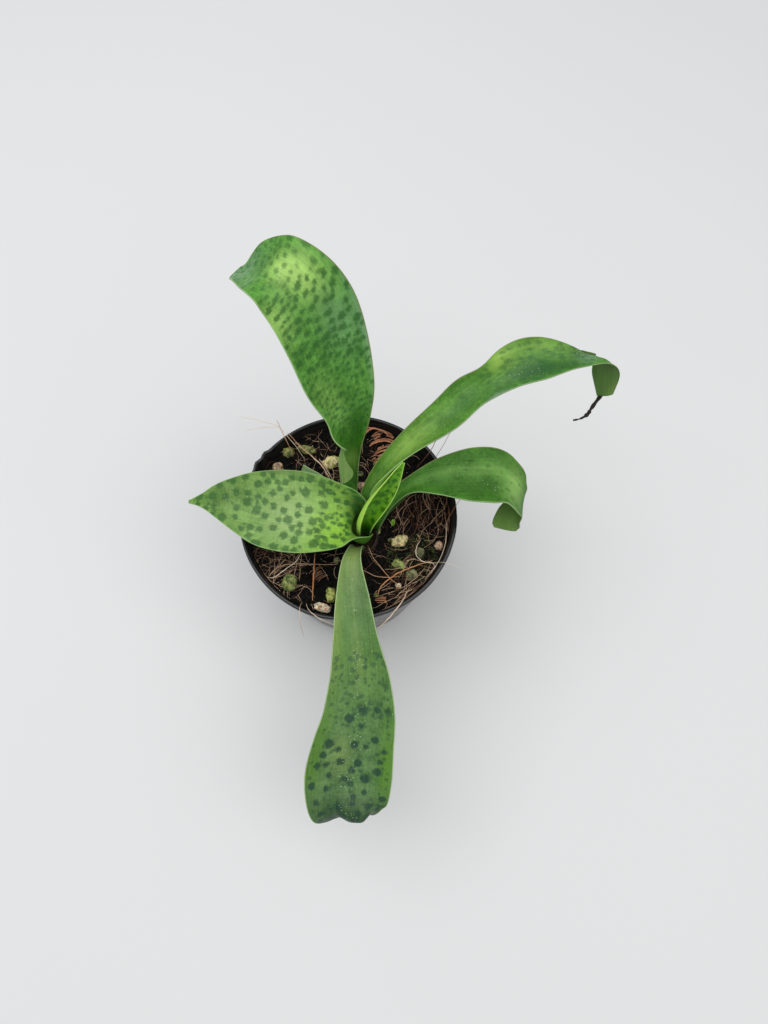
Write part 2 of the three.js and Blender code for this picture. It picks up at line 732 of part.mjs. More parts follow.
const gritEntries = Object.entries(GRIT);
const barkEntries = Object.entries(BARK);
const grit = (entry, i, clearance) =>
  lumpSolid(entry, GRIT_RINGS, GRIT_SIDES, GRIT_SEED + i, clearance);
const bark = (entry, i, clearance) =>
  lumpSolid(entry, BARK_RINGS, BARK_SIDES, BARK_SEED + i, clearance);

place("pot", potSolid(), finishes.pot);

let soil = soilBlock();
[...LAID_FIBRES, ...strewnFibres()].forEach((fibre) => {
  soil = soil.add(fibreSolid(fibre));
});
soil = soil.subtract(bulbSolid(POCKET_GAP));
gritEntries.forEach(([, entry], i) => {
  soil = soil.subtract(grit(entry, i, POCKET_GAP));
});
barkEntries.forEach(([, entry], i) => {
  soil = soil.subtract(bark(entry, i, POCKET_GAP));
});
place("soil", largest(soil), finishes.soil);
place("bulb", bulbSolid(0), finishes.bulb);

Object.entries(LEAVES).forEach(([name, leaf]) => {
  place(name, solid(leafGeometry(leaf)), finishes.leaf);
});
const dryPath = DRY_TIP_PATH.map((point) => new THREE.Vector3(...point));
place("leaf_dry_tip", solid(tube(dryPath, DRY_TIP_RADII, DRY_TIP_SIDES)), finishes.dryTip);

gritEntries.forEach(([name, entry], i) => place(name, grit(entry, i, 0), finishes.grit));
barkEntries.forEach(([name, entry], i) => place(name, bark(entry, i, 0), finishes.bark));

export default plant;
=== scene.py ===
"""Looks of a potted spotted-leaf squill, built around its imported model.

Sizes are in millimetres in the part's frame, +Z up, and MM turns them to metres.
"""

import logging
import math
from dataclasses import dataclass, field
from enum import Enum
from functools import cache

import bmesh
import bpy
import numpy as np
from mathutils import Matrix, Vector, noise

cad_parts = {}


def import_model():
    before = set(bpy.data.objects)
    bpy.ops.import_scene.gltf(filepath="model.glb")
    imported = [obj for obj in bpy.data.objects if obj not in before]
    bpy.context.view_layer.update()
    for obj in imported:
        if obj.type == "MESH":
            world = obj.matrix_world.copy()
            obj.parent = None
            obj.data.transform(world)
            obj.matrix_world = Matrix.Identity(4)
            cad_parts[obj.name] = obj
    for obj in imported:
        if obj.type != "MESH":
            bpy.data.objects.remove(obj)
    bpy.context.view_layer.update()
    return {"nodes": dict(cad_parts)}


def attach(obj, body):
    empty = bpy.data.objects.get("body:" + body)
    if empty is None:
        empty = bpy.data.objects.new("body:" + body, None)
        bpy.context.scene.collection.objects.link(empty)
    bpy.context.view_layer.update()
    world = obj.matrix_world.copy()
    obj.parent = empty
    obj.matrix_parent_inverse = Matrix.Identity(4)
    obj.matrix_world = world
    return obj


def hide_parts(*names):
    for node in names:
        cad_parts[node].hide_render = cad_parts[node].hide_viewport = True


MM = 0.001
BODY = "root"
LOG = logging.getLogger("potted_squill")

# Where nearly all the values of a noise lie.
SPREAD = {"From Min": 0.3, "From Max": 0.7}

POT_HEIGHT = 72.0
POT_RIM_RADIUS = 42.5
POT_BASE_RADIUS = 32.0
POT_WALL = 1.0
BEAD_DEPTH = 0.5
SOIL_LEVEL = 66.0
SOIL_RELIEF = 0.9
BULB_CENTRE = (5.5, -9.5)
NECK_RADIUS = 6.3
HEAP_HEIGHT = 2.6
HEAP_WIDTH = 3.4


class Slot(Enum):
    """The record's material slots."""

    POT = "pot"
    SOIL = "soil"
    BULB = "bulb"
    LEAF = "leaf"
    DRY_TIP = "dry_tip"
    GRIT = "grit"
    BARK = "bark"


class Side(Enum):
    """A margin of a blade, seen from above with the tip away."""

    LEFT = -1
    RIGHT = 1


class Tint(Enum):
    """What a soft patch does to a blade's green: the leaf's own tints, and painted light, shade, sheen
    and glints.
    """

    # Yellow green: partly the tissue's own, partly painted light and light shining through.
    YELLOW = 0
    # Deep green: partly the tissue's own, partly painted shade.
    DEEP_GREEN_AND_SHADE = 1
    # Bluish bloom: partly the wax's own, partly a painted sheen.
    BLOOM_AND_SHEEN = 2
    # Where painted highlights, the glints, may show.
    PAINTED_GLINTS = 3


def linear(code: str) -> tuple[float, float, float, float]:
    """Turns an sRGB hex colour to linear.

    Args:
        code: six hex digits after a hash sign.

    Returns:
        Linear red, green and blue, with an alpha of 1.
    """
    parts = [int(code[i : i + 2], 16) / 255 for i in (1, 3, 5)]
    red, green, blue = [p / 12.92 if p <= 0.04045 else ((p + 0.055) / 1.055) ** 2.4 for p in parts]
    return red, green, blue, 1.0


def fill(node: bpy.types.Node, given: dict) -> None:
    """Sets a node's properties and inputs.

    Args:
        node: the node.
        given: by property name, input name or input number, a value, or the output or the node
            that feeds the input.
    """
    for key, value in given.items():
        if isinstance(key, str) and hasattr(node, key):
            setattr(node, key, value)
            continue
        in_use = [s for s in node.inputs if s.enabled and s.name == key]
        socket = in_use[0] if in_use else node.inputs[key]
        if isinstance(value, bpy.types.Node):
            value = next(s for s in value.outputs if s.enabled)
        if isinstance(value, bpy.types.NodeSocket):
            node.id_data.links.new(value, socket)
        else:
            socket.default_value = value


def add(tree: bpy.types.NodeTree, kind: str, given: dict | None = None) -> bpy.types.Node:
    """Adds a node with its settings and links.

    Args:
        tree: the material's node tree.
        kind: the node's type name, after "ShaderNode".
        given: its settings and links, as fill takes them.

    Returns:
        The new node.
    """
    node = tree.nodes.new("ShaderNode" + kind)
    fill(node, given or {})
    return node


def unit(vectors: np.ndarray) -> np.ndarray:
    """Vectors of length 1 along the last axis."""
    return vectors / np.maximum(np.linalg.norm(vectors, axis=-1, keepdims=True), 1e-9)


def smooth(rows: np.ndarray, t: np.ndarray) -> np.ndarray:
    """Values on a smooth curve through rows of numbers.

    Args:
        rows: one row for each point of the curve.
        t: places on it, from 0 at the first row to 1 at the last.

    Returns:
        One row for each place.
    """
    spans = len(rows) - 1
    padded = np.vstack([2 * rows[0] - rows[1], rows, 2 * rows[-1] - rows[-2]])
    k = np.minimum((t * spans).astype(int), spans - 1)
    f = (t * spans - k)[:, None]
    p0, p1, p2, p3 = (padded[k + i] for i in range(4))
    line = (p2 - p0) * f
    square = (2 * p0 - 5 * p1 + 4 * p2 - p3) * f**2
    cube = (3 * p1 - p0 - 3 * p2 + p3) * f**3
    return p1 + 0.5 * (line + square + cube)


def fall_off(distance: np.ndarray) -> np.ndarray:
    """A soft bell from 1 at distance 0 to nearly 0 at distance 2."""
    return np.exp(-(distance**2))


def soil_height(x: np.ndarray, y: np.ndarray) -> np.ndarray:
    """Height of the mix's lumpy top, as in the solid.

    Args:
        x: places in the plan, in mm.
        y: the same.

    Returns:
        One height for each place.
    """
    swell = np.sin(0.21 * x + 1.1) * np.cos(0.24 * y - 0.4)
    lumps = np.sin(0.83 * x - 0.52 * y) * np.sin(0.61 * y + 0.37 * x + 2)
    return SOIL_LEVEL + SOIL_RELIEF * (0.6 * swell + 0.5 * lumps)


def mix_top(x: np.ndarray, y: np.ndarray) -> np.ndarray:
    """Height of the mix with the little heap that lies against the bulb's neck."""
    far = np.hypot(x - BULB_CENTRE[0], y - BULB_CENTRE[1])
    return soil_height(x, y) + HEAP_HEIGHT * fall_off(np.maximum(far - NECK_RADIUS, 0) / HEAP_WIDTH)


def pot_radius(z: float) -> float:
    """Radius of the pot's outer wall at a height, without the bead."""
    return POT_BASE_RADIUS + (POT_RIM_RADIUS - BEAD_DEPTH - POT_BASE_RADIUS) * z / POT_HEIGHT


def grain(points: np.ndarray, scale: float, octaves: int = 4) -> np.ndarray:
    """Fractal noise at points in mm, from about -1 to 1; scale is in features to the millimetre."""
    return np.array([noise.fractal(Vector(p) * scale, 0.8, 2.1, octaves) for p in points])


@dataclass(frozen=True)
class Finish:
    """A surface, named for its real material and how that was made or grew."""

    name: str

    # What the surface shader takes as it is.
    SURFACE = {}

    def inputs(self, tree: bpy.types.NodeTree) -> dict:
        """What else the surface shader takes; each kind of finish has its own nodes for it."""
        raise NotImplementedError

    @cache
    def material(self) -> bpy.types.Material:
        """Makes the material, once for each finish.

        Returns:
            The material.
        """
        material = bpy.data.materials.new(self.name)
        material.use_nodes = True
        tree = material.node_tree
        fill(tree.nodes["Principled BSDF"], {**self.SURFACE, **self.inputs(tree)})
        return material


@dataclass
class Shape:
    """A mesh in the making: points in mm, arrays of faces, and named values on the points."""

    points: np.ndarray
    faces: list[np.ndarray]
    values: dict[str, np.ndarray] = field(default_factory=dict)

    @staticmethod
    def joined(shapes: list["Shape"]) -> "Shape":
        """Several shapes as one.

        Args:
            shapes: shapes that hold the same named values.

        Returns:
            The one shape.
        """
        starts = np.cumsum([0] + [len(s.points) for s in shapes])
        faces = [f + start for s, start in zip(shapes, starts) for f in s.faces]
        values = {n: np.concatenate([s.values[n] for s in shapes]) for n in shapes[0].values}
        return Shape(np.concatenate([s.points for s in shapes]), faces, values)

    def place(self, name: str, finish: Finish, slot: Slot, solid: str = "") -> bpy.types.Object:
        """Makes the mesh object, dresses it and lets it ride with the part.

        Args:
            name: the piece's name.
            finish: its surface.
            slot: the record's material slot; not used.
            solid: the solid that it stands for, if it does.

        Returns:
            The new object.
        """
        mesh = bpy.data.meshes.new(name)
        corners = np.concatenate([f.ravel() for f in self.faces])
        sides = np.concatenate([np.full(len(f), f.shape[1]) for f in self.faces])
        mesh.vertices.add(len(self.points))
        mesh.vertices.foreach_set("co", (self.points * MM).astype(np.float32).ravel())
        mesh.loops.add(len(corners))
        mesh.loops.foreach_set("vertex_index", corners.astype(np.int32))
        mesh.polygons.add(len(sides))
        mesh.polygons.foreach_set("loop_start", (np.cumsum(sides) - sides).astype(np.int32))
        mesh.update(calc_edges=True)
        for key, value in self.values.items():
            kind, entry = ("FLOAT_VECTOR", "vector") if value.ndim == 2 else ("FLOAT", "value")
            layer = mesh.attributes.new(key, kind, "POINT")
            layer.data.foreach_set(entry, value.astype(np.float32).ravel())
        work = bmesh.new()
        work.from_mesh(mesh)
        bmesh.ops.recalc_face_normals(work, faces=work.faces)
        work.to_mesh(mesh)
        work.free()
        mesh.shade_smooth()
        mesh.materials.append(finish.material())
        piece = bpy.data.objects.new(name, mesh)
        bpy.context.scene.collection.objects.link(piece)
        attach(piece, BODY)
        if solid:
            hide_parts(solid)
        LOG.info("%s: %d faces", name, len(mesh.polygons))
        return piece


def tubes(paths: np.ndarray, radii: np.ndarray, sides: int, values: dict | None = None) -> Shape:
    """Closed tubes along paths.

    Args:
        paths: points in mm, one row of them a tube.
        radii: the radius at each point.
        sides: flats round a tube.
        values: one value a tube, by name.

    Returns:
        All the tubes in one shape, with the values on their points.
    """
    count, steps, _ = paths.shape
    along = unit(np.gradient(paths, axis=1))
    across = unit(np.cross(along, np.array([0.13, 0.21, 0.97])))
    up = np.cross(across, along)
    turn = np.arange(sides) * math.tau / sides
    ring = across[:, :, None] * np.cos(turn)[:, None] + up[:, :, None] * np.sin(turn)[:, None]
    points = paths[:, :, None] + ring * radii[:, :, None, None]
    index = np.arange(count * steps * sides).reshape(count, steps, sides)
    near, far = index[:, :-1], index[:, 1:]
    quads = np.stack([near, far, np.roll(far, -1, 2), np.roll(near, -1, 2)], -1)
    caps = np.concatenate([index[:, 0, ::-1], index[:, -1]])
    spread = {key: np.repeat(value, steps * sides) for key, value in (values or {}).items()}
    return Shape(points.reshape(-1, 3), [quads.reshape(-1, 4), caps], spread)


def turned(profile: np.ndarray, sides: int) -> Shape:
    """Turns a profile about Z.

    Args:
        profile: rows of radius and height in mm, with the first and the last row on the axis.
        sides: flats round the shape.

    Returns:
        The closed shape.
    """
    turn = np.arange(sides) * math.tau / sides
    radius, height = profile[1:-1, :1], profile[1:-1, 1:]
    rings = np.stack([radius * np.cos(turn), radius * np.sin(turn), height + 0 * turn], -1)
    ends = np.array([[0, 0, profile[0, 1]], [0, 0, profile[-1, 1]]])
    index = np.arange(rings[..., 0].size).reshape(-1, sides)
    after = np.roll(index, -1, 1)
    quads = np.stack([index[:-1], after[:-1], after[1:], index[1:]], -1).reshape(-1, 4)
    first = np.full(sides, index.size)
    fans = [np.stack([first, after[0], index[0]], -1), np.stack([first + 1, index[-1], after[-1]], -1)]
    return Shape(np.concatenate([rings.reshape(-1, 3), ends]), [quads, *fans])


def ball(detail: int) -> tuple[np.ndarray, np.ndarray]:
    """An even ball of radius 1.

    Args:
        detail: how many times its triangles are split.

    Returns:
        Its points and its triangles.
    """
    work = bmesh.new()
    bmesh.ops.create_icosphere(work, subdivisions=detail, radius=1.0)
    points = np.array([v.co for v in work.verts])
    faces = np.array([[v.index for v in f.verts] for f in work.faces])
    work.free()
    return points, faces


@dataclass(frozen=True)
class Patch:
    """A soft patch of a blade: where it lies from base to tip and margin to margin, and its size."""

    t: float
    u: float
    length: float
    width: float

    def near(self, t: np.ndarray, u: np.ndarray) -> np.ndarray:
        """How strong the patch is at each point of the blade, up to 1."""
        return fall_off(np.hypot((t[:, None] - self.t) / self.length, (u - self.u) / self.width))


@dataclass(frozen=True)
class Wash(Patch):
    """A patch that changes the blade's green by one of the tints, which carry painted light, shade, sheen
    and glints.
    """

    tint: Tint
    strength: float


@dataclass(frozen=True)
class Dent(Patch):
    """A swelling (or, below zero, hollow) of a blade, with its height in mm."""

    height: float


@dataclass(frozen=True)
class MarginMark:
    """A stretch of one half of a blade, in shares of the blade's length."""

    t: float
    side: Side
    length: float

    def near(self, t: np.ndarray) -> np.ndarray:
        """How strong the mark is in each row of the blade, up to 1."""
        return fall_off((t[:, None] - self.t) / self.length)

    def outward(self, u: np.ndarray) -> np.ndarray:
        """How far out each column lies on the mark's half, 0 to 1."""
        return np.clip(self.side.value * u, 0, 1)


@dataclass(frozen=True)
class Bay(MarginMark):
    """An inward curve (or, below zero, a lobe) of a margin, with its depth in mm."""

    depth: float


@dataclass(frozen=True)
class Roll(MarginMark):
    """A stretch where half a blade rolls on past its margin's usual place, by a share."""

    share: float


@dataclass(frozen=True)
class Spots:
    """A rule that strews dark spots over a stretch of a blade."""

    count: int
    start: float
    end: float
    smallest: float
    largest: float
    spacing: float
    stretch: float
    slant: float
    reach: float
    seed: int
    share: float = 1.0


@dataclass(frozen=True)
class LeafSkin(Finish):
    """Waxy cuticle, grown over green tissue.

    The wax gives a satin sheen, the parallel veins fine streaks along the blade, the thin tissue
    lets some light through, and the spots are cells with more pigment under the same wax. Soft
    washes tint the blade: yellow, partly the tissue's own and partly painted light; deep green,
    partly its own and partly painted shade; a bluish bloom, partly the wax's own and partly a
    painted sheen. The glints are painted highlights: single pale cells. Veins and cells are drawn
    coarser than life, which would be too fine to show. The pattern lies in mm along and across the
    blade.
    """

    ground: str = "#4f8a34"
    shade: str = "#3a7326"
    # Yellow green: partly the tissue's own, partly painted light and light shining through.
    yellow: str = "#9cc44e"
    # Deep green: partly the tissue's own, partly painted shade.
    deep_green_and_shade: str = "#2c6410"
    # Bluish bloom: partly the wax's own, partly a painted sheen.
    bloom_and_sheen: str = "#6f9a70"
    spot: str = "#2f6535"
    margin: str = "#b9cf98"
    right_margin: str = "#b9cf98"
    underside: str = "#5a7a38"
    # The foot's lower face; some skins lighten it as painted light, others darken it as painted shade.
    sheath: str = "#5a7a38"
    roughness: float = 0.48
    specular: float = 0.42
    blur: float = 0.45
    ragged: float = 0.45
    spot_share: float = 0.85
    glints: float = 0.5
    margin_width: float = 0.35

    SURFACE = {
        "Subsurface Weight": 0.15,
        "Subsurface Scale": 0.8 * MM,
        "Subsurface Radius": (0.5, 1.0, 0.25),
        "IOR": 1.42,
    }
    # The painted highlights' colour.
    GLINT = "#c4d8bc"
    CLOUD_SIZE = 7.0
    MOTTLE_SIZE = 1.1
    SPOT_EDGE_SIZE = 1 / 0.9
    GLINT_SPACING = 0.9
    GLINT_SIZE = 0.26
    SHINES_THROUGH = 0.5
    SHEATH_LENGTH = 25.0
    # Veins and cross veins: scale along X, Y and Z of the pattern, and how far they lighten.
    STREAKS = (((1 / 0.5, 0.05, 1.0), 0.14), ((0.5, 1 / 0.6, 1.0), 0.06))

    def inputs(self, tree: bpy.types.NodeTree) -> dict:
        """Adds the nodes.

        Args:
            tree: the material's node tree.

        Returns:
            What the surface shader takes.
        """
        names = ("blade", "zones", "spot", "share", "edge", "painted_glints")
        read = {name: add(tree, "Attribute", {"attribute_name": name}).outputs for name in names}
        place = read["blade"]["Vector"]
        zone = add(tree, "SeparateXYZ", {0: read["zones"]["Vector"]}).outputs
        side = add(tree, "SeparateXYZ", {0: place}).outputs
        rgba = {"data_type": "RGBA"}
        product = {"data_type": "RGBA", "blend_type": "MULTIPLY", "Factor": 1.0}
        times = {"operation": "MULTIPLY"}

        # The ground: soft clouds and a finer mottle between two greens, then the three washes: yellow
        # with painted light, deep green with painted shade, bloom with a painted sheen.
        cloud = add(tree, "TexNoise", {"Vector": place, "Scale": 1 / self.CLOUD_SIZE, "Detail": 3.0})
        given = {"Vector": place, "Scale": 1 / self.MOTTLE_SIZE, "Detail": 4.0, "Roughness": 0.65}
        mottle = add(tree, "TexNoise", given)
        mottled = add(tree, "Math", {"operation": "MULTIPLY_ADD", 0: mottle, 1: 0.9, 2: cloud})
        cloudy = add(tree, "MapRange", {"Value": mottled, "From Min": 0.72, "From Max": 1.18})
        ends = {"A": linear(self.ground), "B": linear(self.shade)}
        colour = add(tree, "Mix", {**rgba, "Factor": cloudy, **ends})
        for axis, code in (("X", self.yellow), ("Y", self.deep_green_and_shade), ("Z", self.bloom_and_sheen)):
            colour = add(tree, "Mix", {**rgba, "Factor": zone[axis], "A": colour, "B": linear(code)})

        # The spots, with ragged soft edges.
        edge = add(tree, "TexNoise", {"Vector": place, "Scale": 1 / self.SPOT_EDGE_SIZE, "Detail": 3.0})
        given = {"From Min": 0.25, "From Max": 0.75, "To Min": -self.ragged, "To Max": self.ragged}
        edge = add(tree, "MapRange", {"Value": edge, **given})
        inside = add(tree, "Math", {"operation": "ADD", 0: read["spot"]["Fac"], 1: edge})
        given = {"From Min": -self.blur, "From Max": self.blur, "To Max": self.spot_share}
        inside = add(tree, "MapRange", {"interpolation_type": "SMOOTHSTEP", "Value": inside, **given})
        inside = add(tree, "Math", {**times, 0: inside, 1: read["share"]["Fac"]})
        colour = add(tree, "Mix", {**rgba, "Factor": inside, "A": colour, "B": linear(self.spot)})

        # The veins' streaks, and the pale margins.
        lights = []
        for scale, contrast in self.STREAKS:
            grid = add(tree, "VectorMath", {**times, 0: place, 1: scale})
            streak = add(tree, "TexNoise", {"Vector": grid, "Scale": 1.0, "Detail": 2.0})
            given = {"Value": streak, "To Min": 1 - contrast, "To Max": 1 + contrast}
            lights.append(add(tree, "MapRange", {**SPREAD, **given}))
        streaks = add(tree, "Math", {**times, 0: lights[0], 1: lights[1]})
        colour = add(tree, "Mix", {**product, "A": colour, "B": streaks})
        given = {"From Min": self.margin_width, "From Max": 0.0, "To Max": 0.8}
        rim = add(tree, "MapRange", {"Value": read["edge"]["Fac"], **given})
        right = add(tree, "MapRange", {"Value": side["X"], "From Min": -0.5, "From Max": 0.5})
        ends = {"A": linear(self.margin), "B": linear(self.right_margin)}
        margin = add(tree, "Mix", {**rgba, "Factor": right, **ends})
        upper = add(tree, "Mix", {**rgba, "Factor": rim, "A": colour, "B": margin})

        # The lower face: the sheath's green at the foot, then the underside; half the yellow wash shows
        # through as painted light, and the deep wash as painted shade.
        given = {"From Min": self.SHEATH_LENGTH, "From Max": 2 * self.SHEATH_LENGTH}
        on_blade = add(tree, "MapRange", {"Value": side["Y"], **given})
        ends = {"A": linear(self.sheath), "B": linear(self.underside)}
        colour = add(tree, "Mix", {**rgba, "Factor": on_blade, **ends})
        behind = add(tree, "Math", {**times, 0: zone["X"], 1: self.SHINES_THROUGH})
        for share, code in ((behind, self.yellow), (zone["Y"], self.deep_green_and_shade)):
            colour = add(tree, "Mix", {**rgba, "Factor": share, "A": colour, "B": linear(code)})
        lower = add(tree, "Mix", {**product, "A": colour, "B": streaks})
        colour = add(tree, "Mix", {**rgba, "Factor": side["Z"], "A": lower, "B": upper})

        # The glints: painted highlights, pale in some cells of a fine pattern, where the clouds and the
        # painted glint zones allow them.
        cell = add(tree, "TexVoronoi", {"Vector": place, "Scale": 1 / self.GLINT_SPACING})
        given = {"From Min": self.GLINT_SIZE, "From Max": 0.4 * self.GLINT_SIZE, "To Max": self.glints}
        dot = add(tree, "MapRange", {"Value": cell, **given})
        painted_glints = {"operation": "MULTIPLY_ADD", 0: read["painted_glints"]["Fac"], 1: 0.25, 2: cloud}
        painted_glints = add(tree, "MapRange", {"Value": add(tree, "Math", painted_glints), "From Min": 0.58, "From Max": 0.7})
        given = {"Value": cell.outputs["Color"], "From Min": 0.45, "From Max": 0.55}
        part = add(tree, "Math", {**times, 0: add(tree, "MapRange", given), 1: painted_glints})
        glint = add(tree, "Math", {**times, 0: dot, 1: part})
        colour = add(tree, "Mix", {**rgba, "Factor": glint, "A": colour, "B": linear(self.GLINT)})
        given = {"Value": cloud, "To Min": self.roughness - 0.08, "To Max": self.roughness + 0.1}
        return {
            "Specular IOR Level": self.specular,
            "Base Color": colour,
            "Roughness": add(tree, "MapRange", {**SPREAD, **given}),
            "Normal": add(tree, "Bump", {"Strength": 0.35, "Distance": 0.1 * MM, "Height": cloudy}),
        }


@dataclass(frozen=True)
class Leaf:
    """One blade. A station is its mid point, the vector to the right margin, and the fold."""

    name: str
    skin: LeafSkin
    stations: tuple[tuple[float, ...], ...]
    rib: float
    wave: float
    waves: float
    rows: int
    washes: tuple[Wash, ...] = ()
    spots: tuple[Spots, ...] = ()
    dents: tuple[Dent, ...] = ()
    bays: tuple[Bay, ...] = ()
    rolls: tuple[Roll, ...] = ()
    in_solid: bool = True

    LEAST_FOLD = 2.0
    RIPPLE_SKEW = 1.3
    RIB_TAPER = 0.7
    EDGE_THICKNESS = 0.4
    MESH_STEP = 0.5
    LEAST_COLUMNS = 12
    TIP_EDGE = 0.3
    MOST_TINT = 1.4
    TRIES = 12
    SMALL_SHARE = 1.6
    NO_SPOT = -9.0

    def surface(self, t: np.ndarray, u: np.ndarray) -> tuple[np.ndarray, np.ndarray]:
        """The upper face.

        Args:
            t: places from base to tip, 0 to 1.
            u: places from the left margin to the right, -1 to 1.

        Returns:
            The points, and how far each lies across the blade from its middle.
        """
        rows = np.array(self.stations)
        at = smooth(rows, t)
        step = 0.5 / self.rows
        ahead = smooth(rows, np.minimum(t + step, 1.0))
        behind = smooth(rows, np.maximum(t - step, 0.0))
        along = unit(ahead[:, :3] - behind[:, :3])
        chord = np.linalg.norm(at[:, 3:6], axis=1)[:, None]
        side = unit(at[:, 3:6] - along * np.sum(at[:, 3:6] * along, axis=1)[:, None])
        face = np.cross(side, along)
        half = np.radians(np.maximum(at[:, 6], self.LEAST_FOLD))[:, None]
        radius = chord / np.sin(half)
        turn = np.broadcast_to(half * u, (len(t), len(u)))
        for roll in self.rolls:
            turn = turn * (1 + roll.share * roll.near(t) * roll.outward(u) ** 2)
        for bay in self.bays:
            pull = bay.side.value * bay.depth * bay.near(t) / radius
            turn = turn - pull * bay.outward(u) ** 3
        sunk = radius * (np.cos(turn) - np.cos(half))
        wave = np.sin(math.tau * self.waves * t[:, None] + self.RIPPLE_SKEW * u)
        lift = self.wave * wave * u * u * t[:, None] - sunk
        for dent in self.dents:
            lift = lift + dent.height * dent.near(t, u)
        across = radius * np.sin(turn)
        points = at[:, None, :3] + side[:, None] * across[..., None] + face[:, None] * lift[..., None]
        return points, radius * turn

    def spot_field(self, along: np.ndarray, across: np.ndarray) -> tuple[np.ndarray, np.ndarray]:
        """How deep each point lies inside the nearest spot, and how dark that spot is.

        Args:
            along: distance from the base, in mm, a row of the blade each.
            across: distance from the middle, in mm, at each point of the grid.

        Returns:
            Millimetres inside a spot, or below zero outside every spot, and the spot's share.
        """
        depth = np.full(across.shape, self.NO_SPOT)
        share = np.ones(across.shape)
        for rule in self.spots:
            draw = np.random.default_rng(rule.seed)
            made: list[tuple[float, float, float]] = []
            for _ in range(rule.count * self.TRIES):
                if len(made) == rule.count:
                    break
                t, u, pick = draw.uniform(rule.start, rule.end), draw.uniform(-1, 1), draw.random()
                row = int(t * (len(along) - 1))
                x, y = u * rule.reach * across[row, -1], along[row]
                size = rule.smallest + (rule.largest - rule.smallest) * pick**self.SMALL_SHARE
                if all(math.hypot(x - a, y - b) > rule.spacing * (size + c) for a, b, c in made):
                    made.append((x, y, size))
            tilt = math.radians(rule.slant)
            for x, y, size in made:
                dx, dy = across - x, along[:, None] - y
                near = dx * math.cos(tilt) - dy * math.sin(tilt)
                far = (dx * math.sin(tilt) + dy * math.cos(tilt)) / rule.stretch
                inside = size - np.hypot(near, far)
                share = np.where(inside > depth, rule.share, share)
                depth = np.maximum(depth, inside)
        return depth, share

    @staticmethod
    def faces(rows: int, columns: int) -> list[np.ndarray]:
        """The faces of a thin closed blade.

        Args:
            rows: points from base to tip.
            columns: points from margin to margin.

        Returns:
            The upper faces, the lower ones and the band between them.
        """
        total = rows * columns
        grid = np.arange(total).reshape(rows, columns)
        quads = np.stack([grid[:-1, :-1], grid[:-1, 1:], grid[1:, 1:], grid[1:, :-1]], -1).reshape(-1, 4)
        ring = np.concatenate([grid[0, :-1], grid[:-1, -1], grid[-1, :0:-1], grid[:0:-1, 0]])
        after = np.roll(ring, -1)
        band = np.stack([ring, after, after + total, ring + total], -1)
        return [quads, quads[:, ::-1] + total, band]

    def build(self) -> None:
        """Makes the leaf, with the spots, margins and washes that its skin shows, the washes partly
        painted light, shade, sheen and glints.
        """
        rough = np.array(self.stations)
        length = np.linalg.norm(np.diff(rough[:, :3], axis=0), axis=1).sum()
        width = 2 * np.linalg.norm(rough[:, 3:6], axis=1).max()
        t = np.linspace(0, 1, int(length / self.MESH_STEP) + 1)
        spans = max(self.LEAST_COLUMNS, 2 * int(width / self.MESH_STEP / 2))
        u = np.sin(np.linspace(-1, 1, spans + 1) * math.pi / 2)
        upper, across = self.surface(t, u)
        rise, run = np.gradient(upper, axis=0), np.gradient(upper, axis=1)
        body = (1 - self.RIB_TAPER * t[:, None]) * (1 - u * u) ** 2
        thickness = self.EDGE_THICKNESS + (self.rib - self.EDGE_THICKNESS) * body
        lower = upper - unit(np.cross(run, rise)) * thickness[..., None]
        middle = upper[:, len(u) // 2]
        along = np.concatenate([[0], np.cumsum(np.linalg.norm(np.diff(middle, axis=0), axis=1))])
        edge = np.abs(np.where(u > 0, across[:, -1:], across[:, :1])) - np.abs(across)
        edge = np.minimum(edge, (along[-1] - along)[:, None] + self.TIP_EDGE)
        # The washes: partly the leaf's own tints, partly painted light, shade, sheen and the zones of
        # painted glints.
        zones = np.zeros(across.shape + (len(Tint),))
        for wash in self.washes:
            zones[..., wash.tint.value] += wash.strength * wash.near(t, u)
        zones = np.clip(zones, 0, self.MOST_TINT)
        depth, share = self.spot_field(along, across)
        total = across.size
        painted_glints = zones[..., Tint.PAINTED_GLINTS.value]
        marks = {"zones": zones[..., :3], "painted_glints": painted_glints, "spot": depth, "share": share, "edge": edge}
        values = {n: np.concatenate([v.reshape(total, -1).squeeze()] * 2) for n, v in marks.items()}
        place = np.stack([across, np.broadcast_to(along[:, None], across.shape)], -1)
        sides = [np.dstack([place, np.full(across.shape, top)]) for top in (1.0, 0.0)]
        values["blade"] = np.concatenate([s.reshape(-1, 3) for s in sides])
        points = np.concatenate([upper.reshape(-1, 3), lower.reshape(-1, 3)])
        shape = Shape(points, self.faces(*across.shape), values)
        solid = self.name if self.in_solid else ""
        shape.place(self.name + "_blade", self.skin, Slot.LEAF, solid)


